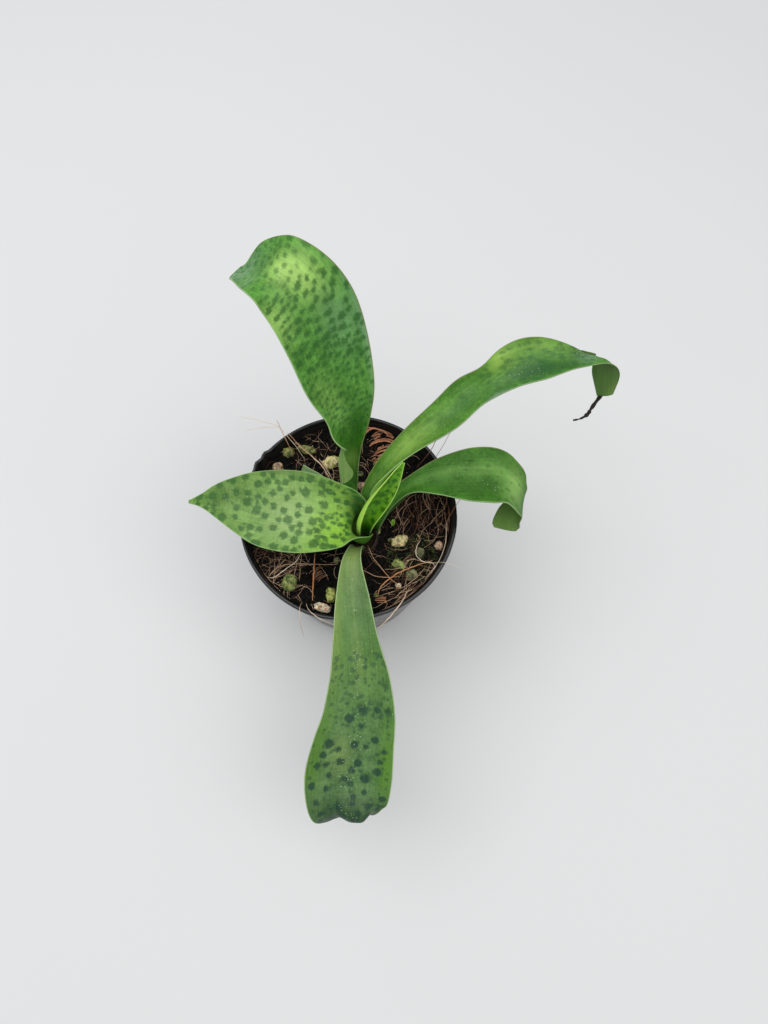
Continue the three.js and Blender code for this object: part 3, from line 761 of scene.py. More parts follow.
@dataclass(frozen=True)
class ThermoformedPolystyrene(Finish):
    """Black polystyrene, thermoformed thin: a soft gloss with fine scuffs and a little dust.

    The scuffs run round the wall, drawn coarser than life to show at all. Inside, the wall is
    soiled and dull.
    """

    name: str = "polystyrene_black"
    colour: str = "#0b0b0d"
    dust: str = "#2c2823"
    soiled: str = "#0c0907"

    SURFACE = {"IOR": 1.59, "Specular IOR Level": 0.32}
    SCUFF_SPACING = 0.8
    SCUFF_STRETCH = (1.0, 1.0, 6.0)
    DUST_SIZE = 3.0

    def inputs(self, tree: bpy.types.NodeTree) -> dict:
        """Adds the nodes.

        Args:
            tree: the material's node tree.

        Returns:
            What the surface shader takes.
        """
        place = add(tree, "TexCoord").outputs["Object"]
        inside = add(tree, "Attribute", {"attribute_name": "inside"}).outputs["Fac"]
        given = {"Vector": place, "Scale": 1 / (self.DUST_SIZE * MM), "Detail": 6.0, "Roughness": 0.7}
        dust = add(tree, "TexNoise", given)
        dusty = add(tree, "MapRange", {"Value": dust, "From Min": 0.55, "From Max": 0.8, "To Max": 0.5})
        colours = {"Factor": dusty, "A": linear(self.colour), "B": linear(self.dust)}
        colour = add(tree, "Mix", {"data_type": "RGBA", **colours})
        rough = add(tree, "MapRange", {**SPREAD, "Value": dust, "To Min": 0.14, "To Max": 0.34})
        grid = add(tree, "VectorMath", {"operation": "MULTIPLY", 0: place, 1: self.SCUFF_STRETCH})
        given = {"Vector": grid, "Scale": 1 / (self.SCUFF_SPACING * MM), "Detail": 3.0}
        scuff = add(tree, "TexNoise", given)
        colours = {"Factor": inside, "A": colour, "B": linear(self.soiled)}
        return {
            "Base Color": add(tree, "Mix", {"data_type": "RGBA", **colours}),
            "Roughness": add(tree, "Math", {"operation": "MULTIPLY_ADD", 0: inside, 1: 0.5, 2: rough}),
            "Normal": add(tree, "Bump", {"Strength": 0.2, "Distance": 0.05 * MM, "Height": scuff}),
        }


@dataclass(frozen=True)
class Pot:
    """A thin tapered nursery pot with a beaded rim and a ring of drainage holes."""

    sides: int = 192
    floor: float = 1.4
    bead_height: float = 2.4
    bead_roll: float = 0.42
    rounding: float = 1.6
    drain_holes: int = 8
    drain_radius: float = 3.0
    drain_ring: float = 21.0
    drain_depth: tuple[float, float] = (-2.0, 4.0)
    flex: float = 0.18
    # Angle and half width, in radians, of the rim's two lobes at the back left.
    lobes: tuple[tuple[float, float], ...] = ((2.5, 0.035), (2.62, 0.045))
    lobe_height: float = 1.0
    lobe_depth: float = 5.0

    def profile(self) -> np.ndarray:
        """The pot's section.

        Returns:
            Radius and height in mm, from the underside's middle round the wall to the floor's middle.
        """
        round_in = self.rounding
        start = pot_radius(round_in)
        turns = np.linspace(0, math.pi / 2, 6)
        corner = [(start - round_in * (1 - math.sin(a)), round_in * (1 - math.cos(a))) for a in turns]
        top, roll = POT_HEIGHT - self.bead_height, self.bead_roll
        wall = [(pot_radius(z), z) for z in np.linspace(round_in, top - 0.6, 24)[1:]]
        bead = [
            (pot_radius(top) + BEAD_DEPTH, top),
            (POT_RIM_RADIUS, top + 0.5),
            (POT_RIM_RADIUS, POT_HEIGHT - roll),
            (POT_RIM_RADIUS - 0.3 * roll, POT_HEIGHT - 0.3 * roll),
            (POT_RIM_RADIUS - roll, POT_HEIGHT),
            (POT_RIM_RADIUS - POT_WALL, POT_HEIGHT),
            (POT_RIM_RADIUS - POT_WALL - 0.35, POT_HEIGHT - 0.2),
            (pot_radius(POT_HEIGHT) - POT_WALL, POT_HEIGHT - 0.6),
        ]
        inner = [(pot_radius(z) - POT_WALL, z) for z in np.linspace(POT_HEIGHT - 2, 2.4, 16)]
        base = [(pot_radius(0) - 2.0, self.floor), (0, self.floor)]
        return np.array([(0, 0), (20, 0), *corner, *wall, *bead, *inner, *base])

    def build(self, finish: Finish) -> None:
        """Makes the pot, with the flex and the two rim lobes of its thin wall, and drills it.

        Args:
            finish: the plastic.
        """
        shape = turned(self.profile(), self.sides)
        x, y, z = shape.points.T
        turn = np.arctan2(y, x)
        give = self.flex * (z / POT_HEIGHT) * (np.sin(2 * turn + 0.7) + 0.5 * np.sin(5 * turn))
        lobes = sum(fall_off((turn - at) / width) for at, width in self.lobes)
        above = z - POT_HEIGHT + self.lobe_depth
        bulge = self.lobe_height * lobes * np.clip(above / (self.lobe_depth - POT_WALL), 0, 1)
        shape.points[:, :2] *= (1 + (bulge - np.abs(give)) / POT_RIM_RADIUS)[:, None]
        wall = np.hypot(x, y) < pot_radius(z) - 0.5 * POT_WALL
        shape.values["inside"] = (wall & (z > 2) & (z < POT_HEIGHT - 1)).astype(float)
        pot = shape.place("pot_shell", finish, Slot.POT, "pot")
        low, high = self.drain_depth
        section = np.array([(0, low), (self.drain_radius, low), (self.drain_radius, high), (0, high)])
        drills = []
        for turn in (np.arange(self.drain_holes) + 0.5) * math.tau / self.drain_holes:
            drill = turned(section, 32)
            drill.points += self.drain_ring * np.array([math.cos(turn), math.sin(turn), 0])
            drill.values["inside"] = np.zeros(len(drill.points))
            drills.append(drill)
        cutter = Shape.joined(drills).place("drills", finish, Slot.POT)
        cut = pot.modifiers.new("drainage", "BOOLEAN")
        cut.object = cutter
        cut.operation = "DIFFERENCE"
        cut.solver = "EXACT"
        bpy.context.view_layer.update()
        view = bpy.context.evaluated_depsgraph_get()
        mesh = bpy.data.meshes.new_from_object(pot.evaluated_get(view))
        pot.modifiers.clear()
        pot.data = mesh
        mesh.shade_smooth()
        bpy.data.objects.remove(cutter)


@dataclass(frozen=True)
class TwoTone(Finish):
    """A finish whose fine marks lie over a ground colour, with relief; its kinds give the values."""

    ground: str
    marks: str

    # Whether the marks follow the piece's own grain, and the sizes of marks and crumbs in mm.
    ALONG_GRAIN = False
    MARK_SIZE = 1.0
    CRUMB_SIZE = 0.0
    DETAIL = 4.0
    FINENESS = 0.5
    # The noise's values between which the marks set in; the relief's strength and depth in mm.
    ONSET = (0.5, 0.75)
    RELIEF = (0.8, 0.15)

    def inputs(self, tree: bpy.types.NodeTree) -> dict:
        """Adds the nodes.

        Args:
            tree: the material's node tree.

        Returns:
            What the surface shader takes.
        """
        if self.ALONG_GRAIN:
            place, mm = add(tree, "Attribute", {"attribute_name": "grain"}).outputs["Vector"], 1.0
        else:
            place, mm = add(tree, "TexCoord").outputs["Object"], MM
        given = {"Scale": 1 / (self.MARK_SIZE * mm), "Detail": self.DETAIL, "Roughness": self.FINENESS}
        height = marks = add(tree, "TexNoise", {"Vector": place, **given})
        if self.CRUMB_SIZE:
            height = add(tree, "TexVoronoi", {"Vector": place, "Scale": 1 / (self.CRUMB_SIZE * mm)})
        low, high = self.ONSET
        share = add(tree, "MapRange", {"Value": marks, "From Min": low, "From Max": high})
        colours = {"A": linear(self.ground), "B": linear(self.marks)}
        strength, depth = self.RELIEF
        relief = {"Strength": strength, "Distance": depth * MM, "Height": height}
        return {
            "Base Color": add(tree, "Mix", {"data_type": "RGBA", "Factor": share, **colours}),
            "Normal": add(tree, "Bump", relief),
        }


@dataclass(frozen=True)
class Peat(TwoTone):
    """Damp peat, sieved: near black, matt, in crumbs with a few brown flecks."""

    name: str = "peat_damp"
    ground: str = "#040403"
    marks: str = "#0b0a08"

    MARK_SIZE = 0.9
    CRUMB_SIZE = 0.5
    DETAIL = 5.0
    FINENESS = 0.65
    ONSET = (0.45, 0.75)
    RELIEF = (0.7, 0.3)
    SURFACE = {"Roughness": 0.85, "IOR": 1.4, "Specular IOR Level": 0.2}


@dataclass(frozen=True)
class PineBark(TwoTone):
    """Pine bark, shredded: red brown, layered, with pale marks along the grain, partly worn ridges and
    partly painted highlights.
    """

    ground: str = "#58301c"
    # The pale marks' colour: partly worn wood, partly painted highlights.
    marks: str = "#d8966c"

    ALONG_GRAIN = True
    MARK_SIZE = 0.5
    FINENESS = 0.6
    ONSET = (0.35, 0.65)
    RELIEF = (0.8, 0.25)
    SURFACE = {"Roughness": 0.8, "IOR": 1.45}


@dataclass(frozen=True)
class PaperyTunic(TwoTone):
    """Bulb skin, dried papery: pale straw with purple-brown streaks up the neck, satin."""

    name: str = "tunic_papery"
    ground: str = "#33281a"
    marks: str = "#19110d"

    ALONG_GRAIN = True
    MARK_SIZE = 0.8
    ONSET = (0.42, 0.66)
    RELIEF = (0.5, 0.15)
    SURFACE = {"Roughness": 0.55, "IOR": 1.45}


@dataclass(frozen=True)
class WitheredLeaf(TwoTone):
    """Leaf tissue, dried black: matt and wrinkled, with brown worn ridges."""

    name: str = "leaf_withered"
    ground: str = "#15110d"
    marks: str = "#4d3c2a"

    MARK_SIZE = 0.6
    SURFACE = {"Roughness": 0.75, "IOR": 1.4}


@dataclass(frozen=True)
class Coir(Finish):
    """Coir fibre, dried: dull straw to dark brown, a tone for each fibre, with paler stretches."""

    name: str = "coir_dry"
    dark: str = "#120a07"
    middle: str = "#6a4330"
    pale: str = "#d8b896"

    SURFACE = {"Roughness": 0.6, "IOR": 1.45, "Specular IOR Level": 0.35}
    STREAK_SIZE = 2.5

    def inputs(self, tree: bpy.types.NodeTree) -> dict:
        """Adds the nodes.

        Args:
            tree: the material's node tree.

        Returns:
            What the surface shader takes.
        """
        place = add(tree, "TexCoord").outputs["Object"]
        tone = add(tree, "Attribute", {"attribute_name": "tone"}).outputs["Fac"]
        given = {"Vector": place, "Scale": 1 / (self.STREAK_SIZE * MM), "Detail": 3.0}
        streak = add(tree, "TexNoise", given)
        mixed = add(tree, "Math", {"operation": "MULTIPLY_ADD", 0: streak, 1: 0.5, 2: tone})
        shifted = add(tree, "MapRange", {"Value": mixed, "From Min": 0.2, "From Max": 1.3})
        ramp = add(tree, "ValToRGB", {0: shifted})
        stops = ramp.color_ramp.elements
        stops[0].color = linear(self.dark)
        stops[1].color = linear(self.pale)
        stops.new(0.5).color = linear(self.middle)
        return {
            "Base Color": ramp,
            "Normal": add(tree, "Bump", {"Strength": 0.4, "Distance": 0.05 * MM, "Height": streak}),
        }


@dataclass(frozen=True)
class Moss(Coir):
    """Moss, growing: short soft hairs, near black green with a few paler tips."""

    name: str = "moss_growing"
    dark: str = "#0a0d05"
    middle: str = "#262f12"
    pale: str = "#66703a"


@dataclass(frozen=True)
class Pumice(Finish):
    """Pumice grit, tumbled: chalky and matt, with open pores that carry painted shade, grime and a film
    of green algae.

    The pores are drawn coarser than life to show.
    """

    ground: str
    film: str
    film_share: float = 0.5

    SURFACE = {"Roughness": 0.8, "IOR": 1.5}
    PORE_SPACING = 0.7
    FILM_SIZE = 1.4
    GRIME_SIZE = 2.0

    def inputs(self, tree: bpy.types.NodeTree) -> dict:
        """Adds the nodes.

        Args:
            tree: the material's node tree.

        Returns:
            What the surface shader takes.
        """
        place = add(tree, "TexCoord").outputs["Object"]
        given = {"Vector": place, "Scale": 1 / (self.FILM_SIZE * MM), "Detail": 4.0}
        film = add(tree, "TexNoise", given)
        less = 0.35 * self.film_share
        film = add(tree, "MapRange", {"Value": film, "From Min": 0.68 - less, "From Max": 0.78 - less})
        colours = {"Factor": film, "A": linear(self.ground), "B": linear(self.film)}
        colour = add(tree, "Mix", {"data_type": "RGBA", **colours})
        # The pores: dimples in the relief, with painted shade darkening each pore's middle.
        pore = add(tree, "TexVoronoi", {"Vector": place, "Scale": 1 / (self.PORE_SPACING * MM)})
        painted_pore_shade = add(tree, "MapRange", {"Value": pore, "From Max": 0.4, "To Min": 0.7})
        given = {"Vector": place, "Scale": 1 / (self.GRIME_SIZE * MM), "Detail": 5.0, "Roughness": 0.7}
        grime = add(tree, "TexNoise", given)
        grime = add(tree, "MapRange", {"Value": grime, "From Min": 0.4, "From Max": 0.54, "To Min": 0.3})
        # The painted pore shade and the grime darken the colour together.
        shade = add(tree, "Math", {"operation": "MULTIPLY", 0: painted_pore_shade, 1: grime})
        given = {"data_type": "RGBA", "blend_type": "MULTIPLY", "Factor": 1.0, "A": colour, "B": shade}
        return {
            "Base Color": add(tree, "Mix", given),
            "Normal": add(tree, "Bump", {"Strength": 0.6, "Distance": 0.2 * MM, "Height": pore}),
        }


@dataclass(frozen=True)
class PaintedFloor(Finish):
    """Board, painted pale grey: matt, in two hardly different tones."""

    name: str = "floor_painted"
    colour: str = "#d4d4d4"
    other: str = "#d0d1d1"

    SURFACE = {"Roughness": 0.8}
    TONE_SIZE = 1000 / 3

    def inputs(self, tree: bpy.types.NodeTree) -> dict:
        """Adds the nodes.

        Args:
            tree: the material's node tree.

        Returns:
            What the surface shader takes.
        """
        place = add(tree, "TexCoord").outputs["Object"]
        tone = add(tree, "TexNoise", {"Vector": place, "Scale": 1 / (self.TONE_SIZE * MM)})
        colours = {"Factor": tone, "A": linear(self.colour), "B": linear(self.other)}
        return {"Base Color": add(tree, "Mix", {"data_type": "RGBA", **colours})}


@dataclass(frozen=True)
class Strand:
    """A fibre that is laid along given points: plan points with their height over the mix, all in mm."""

    points: tuple[tuple[float, float, float], ...]
    radius: float
    tone: float

    STEPS = 28
    SIDES = 6
    KINK = 0.25
    THINNING = 0.55

    def shape(self, seed: int) -> Shape:
        """The fibre as a tube that thins towards its ends.

        Args:
            seed: the number that its small kinks are drawn from.

        Returns:
            Its shape.
        """
        path = smooth(np.array(self.points), np.linspace(0, 1, self.STEPS))
        draw = np.random.default_rng(seed)
        path[1:-1] += draw.normal(0, self.KINK * self.radius, (self.STEPS - 2, 3))
        path[:, 2] += mix_top(path[:, 0], path[:, 1])
        taper = 1 - self.THINNING * np.abs(np.linspace(-1, 1, self.STEPS)) ** 3
        tone = {"tone": np.array([self.tone])}
        return tubes(path[None], self.radius * taper[None], self.SIDES, tone)


@dataclass(frozen=True)
class Strewing:
    """A rule that strews fibres over a round patch of the mix."""

    count: int
    centre: tuple[float, float]
    spread: float
    length: tuple[float, float]
    radius: tuple[float, float]
    tone: tuple[float, float]
    heading: float = 0.0
    scatter: float = 180.0
    rise: float = 1.5
    bow: float = 1.2
    seed: int = 1
    finish: Coir = Coir()

    STEPS = 10
    SIDES = 4
    KINK = 0.12
    SUNK = 0.25
    RISES = (0.1, 1.0)
    ARCH = 0.6
    THINNING = 0.5

    def shape(self, limit: float) -> Shape:
        """The strewn fibres.

        Args:
            limit: how far from the pot's axis they may lie.

        Returns:
            All of them in one shape.
        """
        draw = np.random.default_rng(self.seed)
        count = self.count
        turn, reach = draw.uniform(0, math.tau, count), draw.random(count) ** 0.5
        spread = self.spread * np.stack([reach * np.cos(turn), reach * np.sin(turn)], -1)
        centre = np.array(self.centre) + spread
        length = draw.uniform(*self.length, count)
        heading = np.radians(self.heading + draw.uniform(-self.scatter, self.scatter, count))
        bend = draw.normal(0, self.bow, count)
        s = np.linspace(-0.5, 0.5, self.STEPS)
        kinks = draw.normal(0, self.KINK, (count, self.STEPS))
        angle = heading[:, None] + bend[:, None] * s + kinks
        step = length[:, None] / (self.STEPS - 1)
        x = np.cumsum(np.cos(angle) * step, axis=1)
        y = np.cumsum(np.sin(angle) * step, axis=1)
        x += (centre[:, 0] - x.mean(1))[:, None]
        y += (centre[:, 1] - y.mean(1))[:, None]
        far = np.maximum(np.hypot(x, y) / limit, 1.0)
        x, y = x / far, y / far
        rise = draw.uniform(*self.RISES, count)[:, None] * self.rise
        z = mix_top(x, y) + rise * np.cos(math.pi * s) ** self.ARCH - self.SUNK
        radius = draw.uniform(*self.radius, count)
        taper = 1 - self.THINNING * (2 * np.abs(s)) ** 3
        tone = {"tone": draw.uniform(*self.tone, count)}
        return tubes(np.stack([x, y, z], -1), radius[:, None] * taper, self.SIDES, tone)


@dataclass(frozen=True)
class Crumbs:
    """A rule that strews small angular lumps over the mix."""

    count: int
    smallest: float
    largest: float
    seed: int

    ROUGHNESS = 0.16
    SMALL_SHARE = 2.5
    # The least and the most that a lump is stretched by, and lifted by, as shares of its size.
    STRETCH = (0.6, 1.3)
    LIFT = (-0.1, 0.5)

    def shape(self, limit: float, detail: int) -> Shape:
        """The strewn lumps.

        Args:
            limit: how far from the pot's axis they may lie.
            detail: how finely each is split.

        Returns:
            All of them in one shape.
        """
        draw = np.random.default_rng(self.seed)
        count = self.count
        points, faces = ball(detail)
        turn, reach = draw.uniform(0, math.tau, count), limit * draw.random(count) ** 0.5
        size = self.smallest + (self.largest - self.smallest) * draw.random(count) ** self.SMALL_SHARE
        stretch = draw.uniform(*self.STRETCH, (count, 1, 3)) * size[:, None, None] / 2
        rough = 1 + draw.normal(0, self.ROUGHNESS, (count, len(points), 1))
        axes = np.linalg.qr(draw.normal(size=(count, 3, 3)))[0]
        lumps = np.einsum("nij,nvj->nvi", axes, points * rough * stretch)
        x, y = reach * np.cos(turn), reach * np.sin(turn)
        z = mix_top(x, y) + draw.uniform(*self.LIFT, count) * size
        lumps += np.stack([x, y, z], -1)[:, None]
        start = (np.arange(count) * len(points))[:, None, None]
        return Shape(lumps.reshape(-1, 3), [(faces + start).reshape(-1, 3)])


@dataclass(frozen=True)
class Mix:
    """The potting mix: its body, the peat crumbs on it and the coir in it."""

    strands: tuple[Strand, ...]
    strewings: tuple[Strewing, ...]
    crumbs: Crumbs = Crumbs(1600, 0.4, 2.4, 5)
    sides: int = 224
    rings: int = 84
    bottom: float = 1.7
    relief: float = 0.75
    bank: float = 0.5
    bank_width: float = 2.0
    gap: float = 0.3

    # Heights in mm of the rings up the wall.
    WALL_HEIGHTS = (2.8, 20, 40, 60, 64)
    # Height, shift and scale of the coarse lumps and of the fine ones.
    LUMPS = ((0.8, 0, 0.16), (0.5, 40, 0.5))

    def limit(self, z: float) -> float:
        """How far from the axis the mix reaches at a height."""
        return pot_radius(z) - POT_WALL - self.gap

    def body(self) -> Shape:
        """The plug of mix, with its lumpy top.

        Returns:
            Its shape.
        """
        edge = self.limit(SOIL_LEVEL)
        wall = [(self.limit(z), z) for z in self.WALL_HEIGHTS]
        top = [(edge * (1 - i / self.rings), SOIL_LEVEL) for i in range(self.rings + 1)]
        low = [(0, self.bottom), (self.limit(2) - 1, self.bottom)]
        shape = turned(np.array([*low, *wall, *top]), self.sides)
        crown = shape.points[:, 2] >= SOIL_LEVEL
        x, y, _ = shape.points[crown].T
        flat = np.stack([x, y, 0 * x], -1)
        rough = sum(h * grain(flat + shift, scale) for h, shift, scale in self.LUMPS)
        near_wall = fall_off((edge - np.hypot(x, y)) / self.bank_width)
        shape.points[crown, 2] = mix_top(x, y) + self.relief * rough + self.bank * near_wall
        return shape

    def build(self) -> None:
        """Makes the mix, its crumbs and its fibres."""
        self.body().place("potting_mix", Peat(), Slot.SOIL, "soil")
        edge = self.limit(SOIL_LEVEL) - 0.2
        crumb = Peat("peat_crumb", "#050504", "#1c1610")
        self.crumbs.shape(edge, 1).place("peat_crumbs", crumb, Slot.SOIL)
        for number, rule in enumerate(self.strewings):
            rule.shape(edge).place(f"coir_strewn_{number}", rule.finish, Slot.SOIL)
        laid = Shape.joined([s.shape(i) for i, s in enumerate(self.strands)])
        laid.place("coir_laid", Coir("coir_laid", "#4a2c1c", "#b07a50", "#ecdcc4"), Slot.SOIL)


@dataclass(frozen=True)
class Pebble:
    """A pebble of grit, sunk a third into the mix: place, size and turn in mm and degrees."""

    name: str
    x: float
    y: float
    length: float
    width: float
    height: float
    turn: float
    finish: Pumice
    in_solid: bool = True

    SUNK = 0.35
    SQUARENESS = 0.85
    # Height, shift, scale and octaves of the coarse lumps and of the fine ones.
    LUMPS = ((0.22, 7, 1.1, 2), (0.08, 3, 3.4, 3))

    def build(self, seed: int) -> None:
        """Makes the pebble.

        Args:
            seed: the number that its lumps are drawn from.
        """
        points, faces = ball(4)
        rough = sum(h * grain(points + shift * seed, *noise_of) for h, shift, *noise_of in self.LUMPS)
        square = np.sign(points) * np.abs(points) ** self.SQUARENESS
        points = square * (1 + rough[:, None]) * np.array([self.length, self.width, self.height]) / 2
        turn = math.radians(self.turn)
        cos, sin = math.cos(turn), math.sin(turn)
        ground = float(mix_top(np.array(self.x), np.array(self.y)))
        points = points @ np.array([[cos, sin, 0], [-sin, cos, 0], [0, 0, 1]])
        points = points + (self.x, self.y, ground + self.height * (0.5 - self.SUNK))
        solid = self.name if self.in_solid else ""
        Shape(points, [faces]).place(self.name + "_pebble", self.finish, Slot.GRIT, solid)


@dataclass(frozen=True)
class Chip:
    """A bark chip made of thin strips side by side: place, size and turn in mm and degrees."""

    name: str
    x: float
    y: float
    length: float
    width: float
    height: float
    turn: float
    finish: PineBark
    strips: int = 3
    bow: float = 1.0
    lift: float = 0.0
    in_solid: bool = True

    STEPS = 26
    SIDES = 10
    GAP = 0.4
    FILL = 0.36
    KINK = 0.05
    ROUGHNESS = 0.08
    GRAIN_STRETCH = 0.12
    # The least and the most of a strip's shift, reach, bow and thickness, as shares of its chip's.
    SHIFTS = (-0.1, 0.1)
    REACHES = (0.65, 1.0)
    BOWS = (0.8, 1.2)
    THICKNESSES = (0.6, 1.2)

    def build(self, seed: int) -> None:
        """Makes the chip.

        Args:
            seed: the number that its strips are drawn from.
        """
        draw = np.random.default_rng(seed)
        s = np.linspace(-1, 1, self.STEPS)
        cos, sin = math.cos(math.radians(self.turn)), math.sin(math.radians(self.turn))
        ground = float(soil_height(np.array(self.x), np.array(self.y))) + self.lift
        edge = pot_radius(SOIL_LEVEL) - POT_WALL - self.GAP
        parts = []
        for k in range(self.strips):
            place = (k + 0.5) / self.strips - 0.5
            shift = draw.uniform(*self.SHIFTS) * self.length
            reach = draw.uniform(*self.REACHES) * self.length / 2
            bow = self.bow * draw.uniform(*self.BOWS)
            off = place * self.width + bow * (1 - s**2) + draw.normal(0, self.KINK, self.STEPS)
            x = self.x + cos * (s * reach + shift) - sin * off
            y = self.y + sin * (s * reach + shift) + cos * off
            z = ground + self.height * (0.2 + 0.35 * draw.random()) * (1 - 0.5 * s**2)
            radius = self.FILL * self.width / self.strips * (1 - 0.6 * s**4)
            radius = radius * draw.uniform(*self.THICKNESSES)
            out = np.maximum(np.hypot(x, y) / (edge - 1.2 * radius), 1.0)
            path = np.stack([x / out, y / out, z], -1)
            radii = radius * (1 + draw.normal(0, self.ROUGHNESS, self.STEPS))
            strip = tubes(path[None], radii[None], self.SIDES)
            middle = np.repeat(z, self.SIDES)
            strip.points[:, 2] = middle + (strip.points[:, 2] - middle) * self.height / self.width
            along = np.repeat(s * reach, self.SIDES)
            turns = np.tile(np.arange(self.SIDES), self.STEPS) / self.SIDES * math.tau
            rows = [self.GRAIN_STRETCH * along, np.cos(turns) + 3 * k, np.sin(turns) + seed]
            strip.values["grain"] = np.stack(rows, -1)
            parts.append(strip)
        solid = self.name if self.in_solid else ""
        Shape.joined(parts).place(self.name + "_chip", self.finish, Slot.BARK, solid)


@dataclass(frozen=True)
class Bulb:
    """The bulb with its ribbed skin, its neck round the leaves' feet, and its roots."""

    # Radius and height in mm, from the basal plate up to the neck and down into its mouth.
    profile: tuple[tuple[float, float], ...] = (
        (0, 44), (4.5, 44.4), (8.6, 48), (10.9, 53.5), (10, 59), (7.6, 63.5),
        (6.6, 67), (6.3, 69.6), (5.9, 71.4), (5.4, 71.6), (5.6, 70.6), (0, 70.2),
    )
    sides: int = 72
    torn_above: float = 70.5
    roots: int = 7
    root_top: float = 46.4
    root_length: float = 30.0
    root_start: float = 2.4
    root_spreads: tuple[float, float] = (6.6, 11.0)
    root_radius: float = 1.3
    root_thinning: float = 0.8

    def skin(self) -> Shape:
        """The bulb and its neck, with the skin's ribs and torn edge.

        Returns:
            Their shape.
        """
        outline = smooth(np.array(self.profile[:-1]), np.linspace(0, 1, 60))
        shape = turned(np.vstack([outline, self.profile[-1]]), self.sides)
        x, y, z = shape.points.T
        turn = np.arctan2(y, x)
        ribs = 1 + 0.018 * np.sin(9 * turn + 0.1 * z) + 0.01 * np.sin(23 * turn)
        ragged = 0.9 * np.sin(3 * turn + 1) + 0.5 * np.sin(7 * turn)
        torn = np.where(z > self.torn_above, ragged, 0)
        shape.points[:, :2] *= ribs[:, None]
        shape.points[:, 2] += torn
        shape.values["grain"] = np.stack([6 * np.cos(turn), 6 * np.sin(turn), 0.08 * z], -1)
        return shape

    def root_shapes(self) -> list[Shape]:
        """The thick roots below the bulb.

        Returns:
            A shape for each.
        """
        made = []
        s = np.linspace(0, 1, 20)
        for i in range(self.roots):
            reach = self.root_start + (self.root_spreads[i % 2] - self.root_start) * s
            turns = math.tau * i / self.roots + 0.3 + 0.12 * np.sin(5 * s + i)
            drop = self.root_top - self.root_length * s
            path = np.stack([reach * np.cos(turns), reach * np.sin(turns), drop], -1)
            root = tubes(path[None], (self.root_radius - self.root_thinning * s)[None], 10)
            root.values["grain"] = root.points * 0.5
            made.append(root)
        return made

    def build(self) -> None:
        """Makes the bulb."""
        shape = Shape.joined([self.skin(), *self.root_shapes()])
        shape.points += (*BULB_CENTRE, 0.0)
        shape.place("bulb_tunic", PaperyTunic(), Slot.BULB, "bulb")


@dataclass(frozen=True)
class WitheredTip:
    """The long right leaf's dead tip: shrivelled, with a knot and a hook."""

    path: tuple[tuple[float, float, float], ...]
    radii: tuple[float, ...]

    STEPS = 70
    SIDES = 12
    KNOTS = (0.18, 37)
    TWIST = 5
    FLATNESS = (0.85, 0.25)

    def build(self) -> None:
        """Makes the tip, with its knots and its twist."""
        s = np.linspace(0, 1, self.STEPS)
        path = smooth(np.array(self.path), s)
        height, pace = self.KNOTS
        radii = smooth(np.array(self.radii)[:, None], s)[:, 0] * (1 + height * np.sin(pace * s))
        shape = tubes(path[None], radii[None], self.SIDES)
        middle = np.repeat(path, self.SIDES, axis=0)
        turn = np.tile(np.arange(self.SIDES), self.STEPS) * math.tau / self.SIDES
        turn = turn + np.repeat(self.TWIST * s, self.SIDES)
        mean, swing = self.FLATNESS
        shape.points = middle + (shape.points - middle) * (mean + swing * np.cos(2 * turn))[:, None]
        shape.place("leaf_tip_withered", WitheredLeaf(), Slot.DRY_TIP, "leaf_dry_tip")


@dataclass(frozen=True)
class Lamp:
    """A square soft light that faces the part, with its place and size in metres."""

    name: str
    place: tuple[float, float, float]
    size: float
    power: float
    colour: tuple[float, float, float]

    def build(self) -> None:
        """Makes the light."""
        lamp = bpy.data.objects.new(self.name, bpy.data.lights.new(self.name, "AREA"))
        lamp.data.size = self.size
        lamp.data.energy = self.power
        lamp.data.color = self.colour
        lamp.location = self.place
        lamp.rotation_euler = (-Vector(self.place)).to_track_quat("-Z", "Y").to_euler()
        bpy.context.scene.collection.objects.link(lamp)


@dataclass(frozen=True)
class Studio:
    """A pale floor, soft light from above and the camera."""

    camera_place: tuple[float, float, float] = (13.9, -103.6, 357.7)
    camera_tilt: float = 20.0
    lens: float = 27.42
    sky: tuple[float, float, float, float] = (0.93, 0.96, 1.0, 1.0)
    sky_strength: float = 0.48
    lamps: tuple[Lamp, ...] = (
        Lamp("window", (-0.4, 0.2, 1.1), 1.0, 8.0, (1.0, 1.0, 1.0)),
        Lamp("ceiling", (0.5, -0.3, 1.3), 1.2, 9.0, (1.0, 0.98, 0.95)),
    )
    floor_reach: float = 6.0

    def build(self) -> None:
        """Sets the camera, the lights and the floor."""
        scene = bpy.context.scene
        scene.view_settings.view_transform = "Standard"
        camera = bpy.data.objects.new("camera", bpy.data.cameras.new("camera"))
        camera.data.lens = self.lens
        camera.data.clip_start = 0.01
        camera.location = Vector(self.camera_place) * MM
        camera.rotation_euler = (math.radians(self.camera_tilt), 0, 0)
        scene.collection.objects.link(camera)
        scene.camera = camera
        world = bpy.data.worlds.new("pale_room")
        world.use_nodes = True
        fill(world.node_tree.nodes["Background"], {"Color": self.sky, "Strength": self.sky_strength})
        scene.world = world
        for lamp in self.lamps:
            lamp.build()
        mesh = bpy.data.meshes.new("floor")
        ends = (-self.floor_reach, self.floor_reach)
        mesh.from_pydata([(x, y, 0) for y in ends for x in ends], [], [(0, 1, 3, 2)])
        mesh.materials.append(PaintedFloor().material())
        floor = bpy.data.objects.new("floor", mesh)
        scene.collection.objects.link(floor)


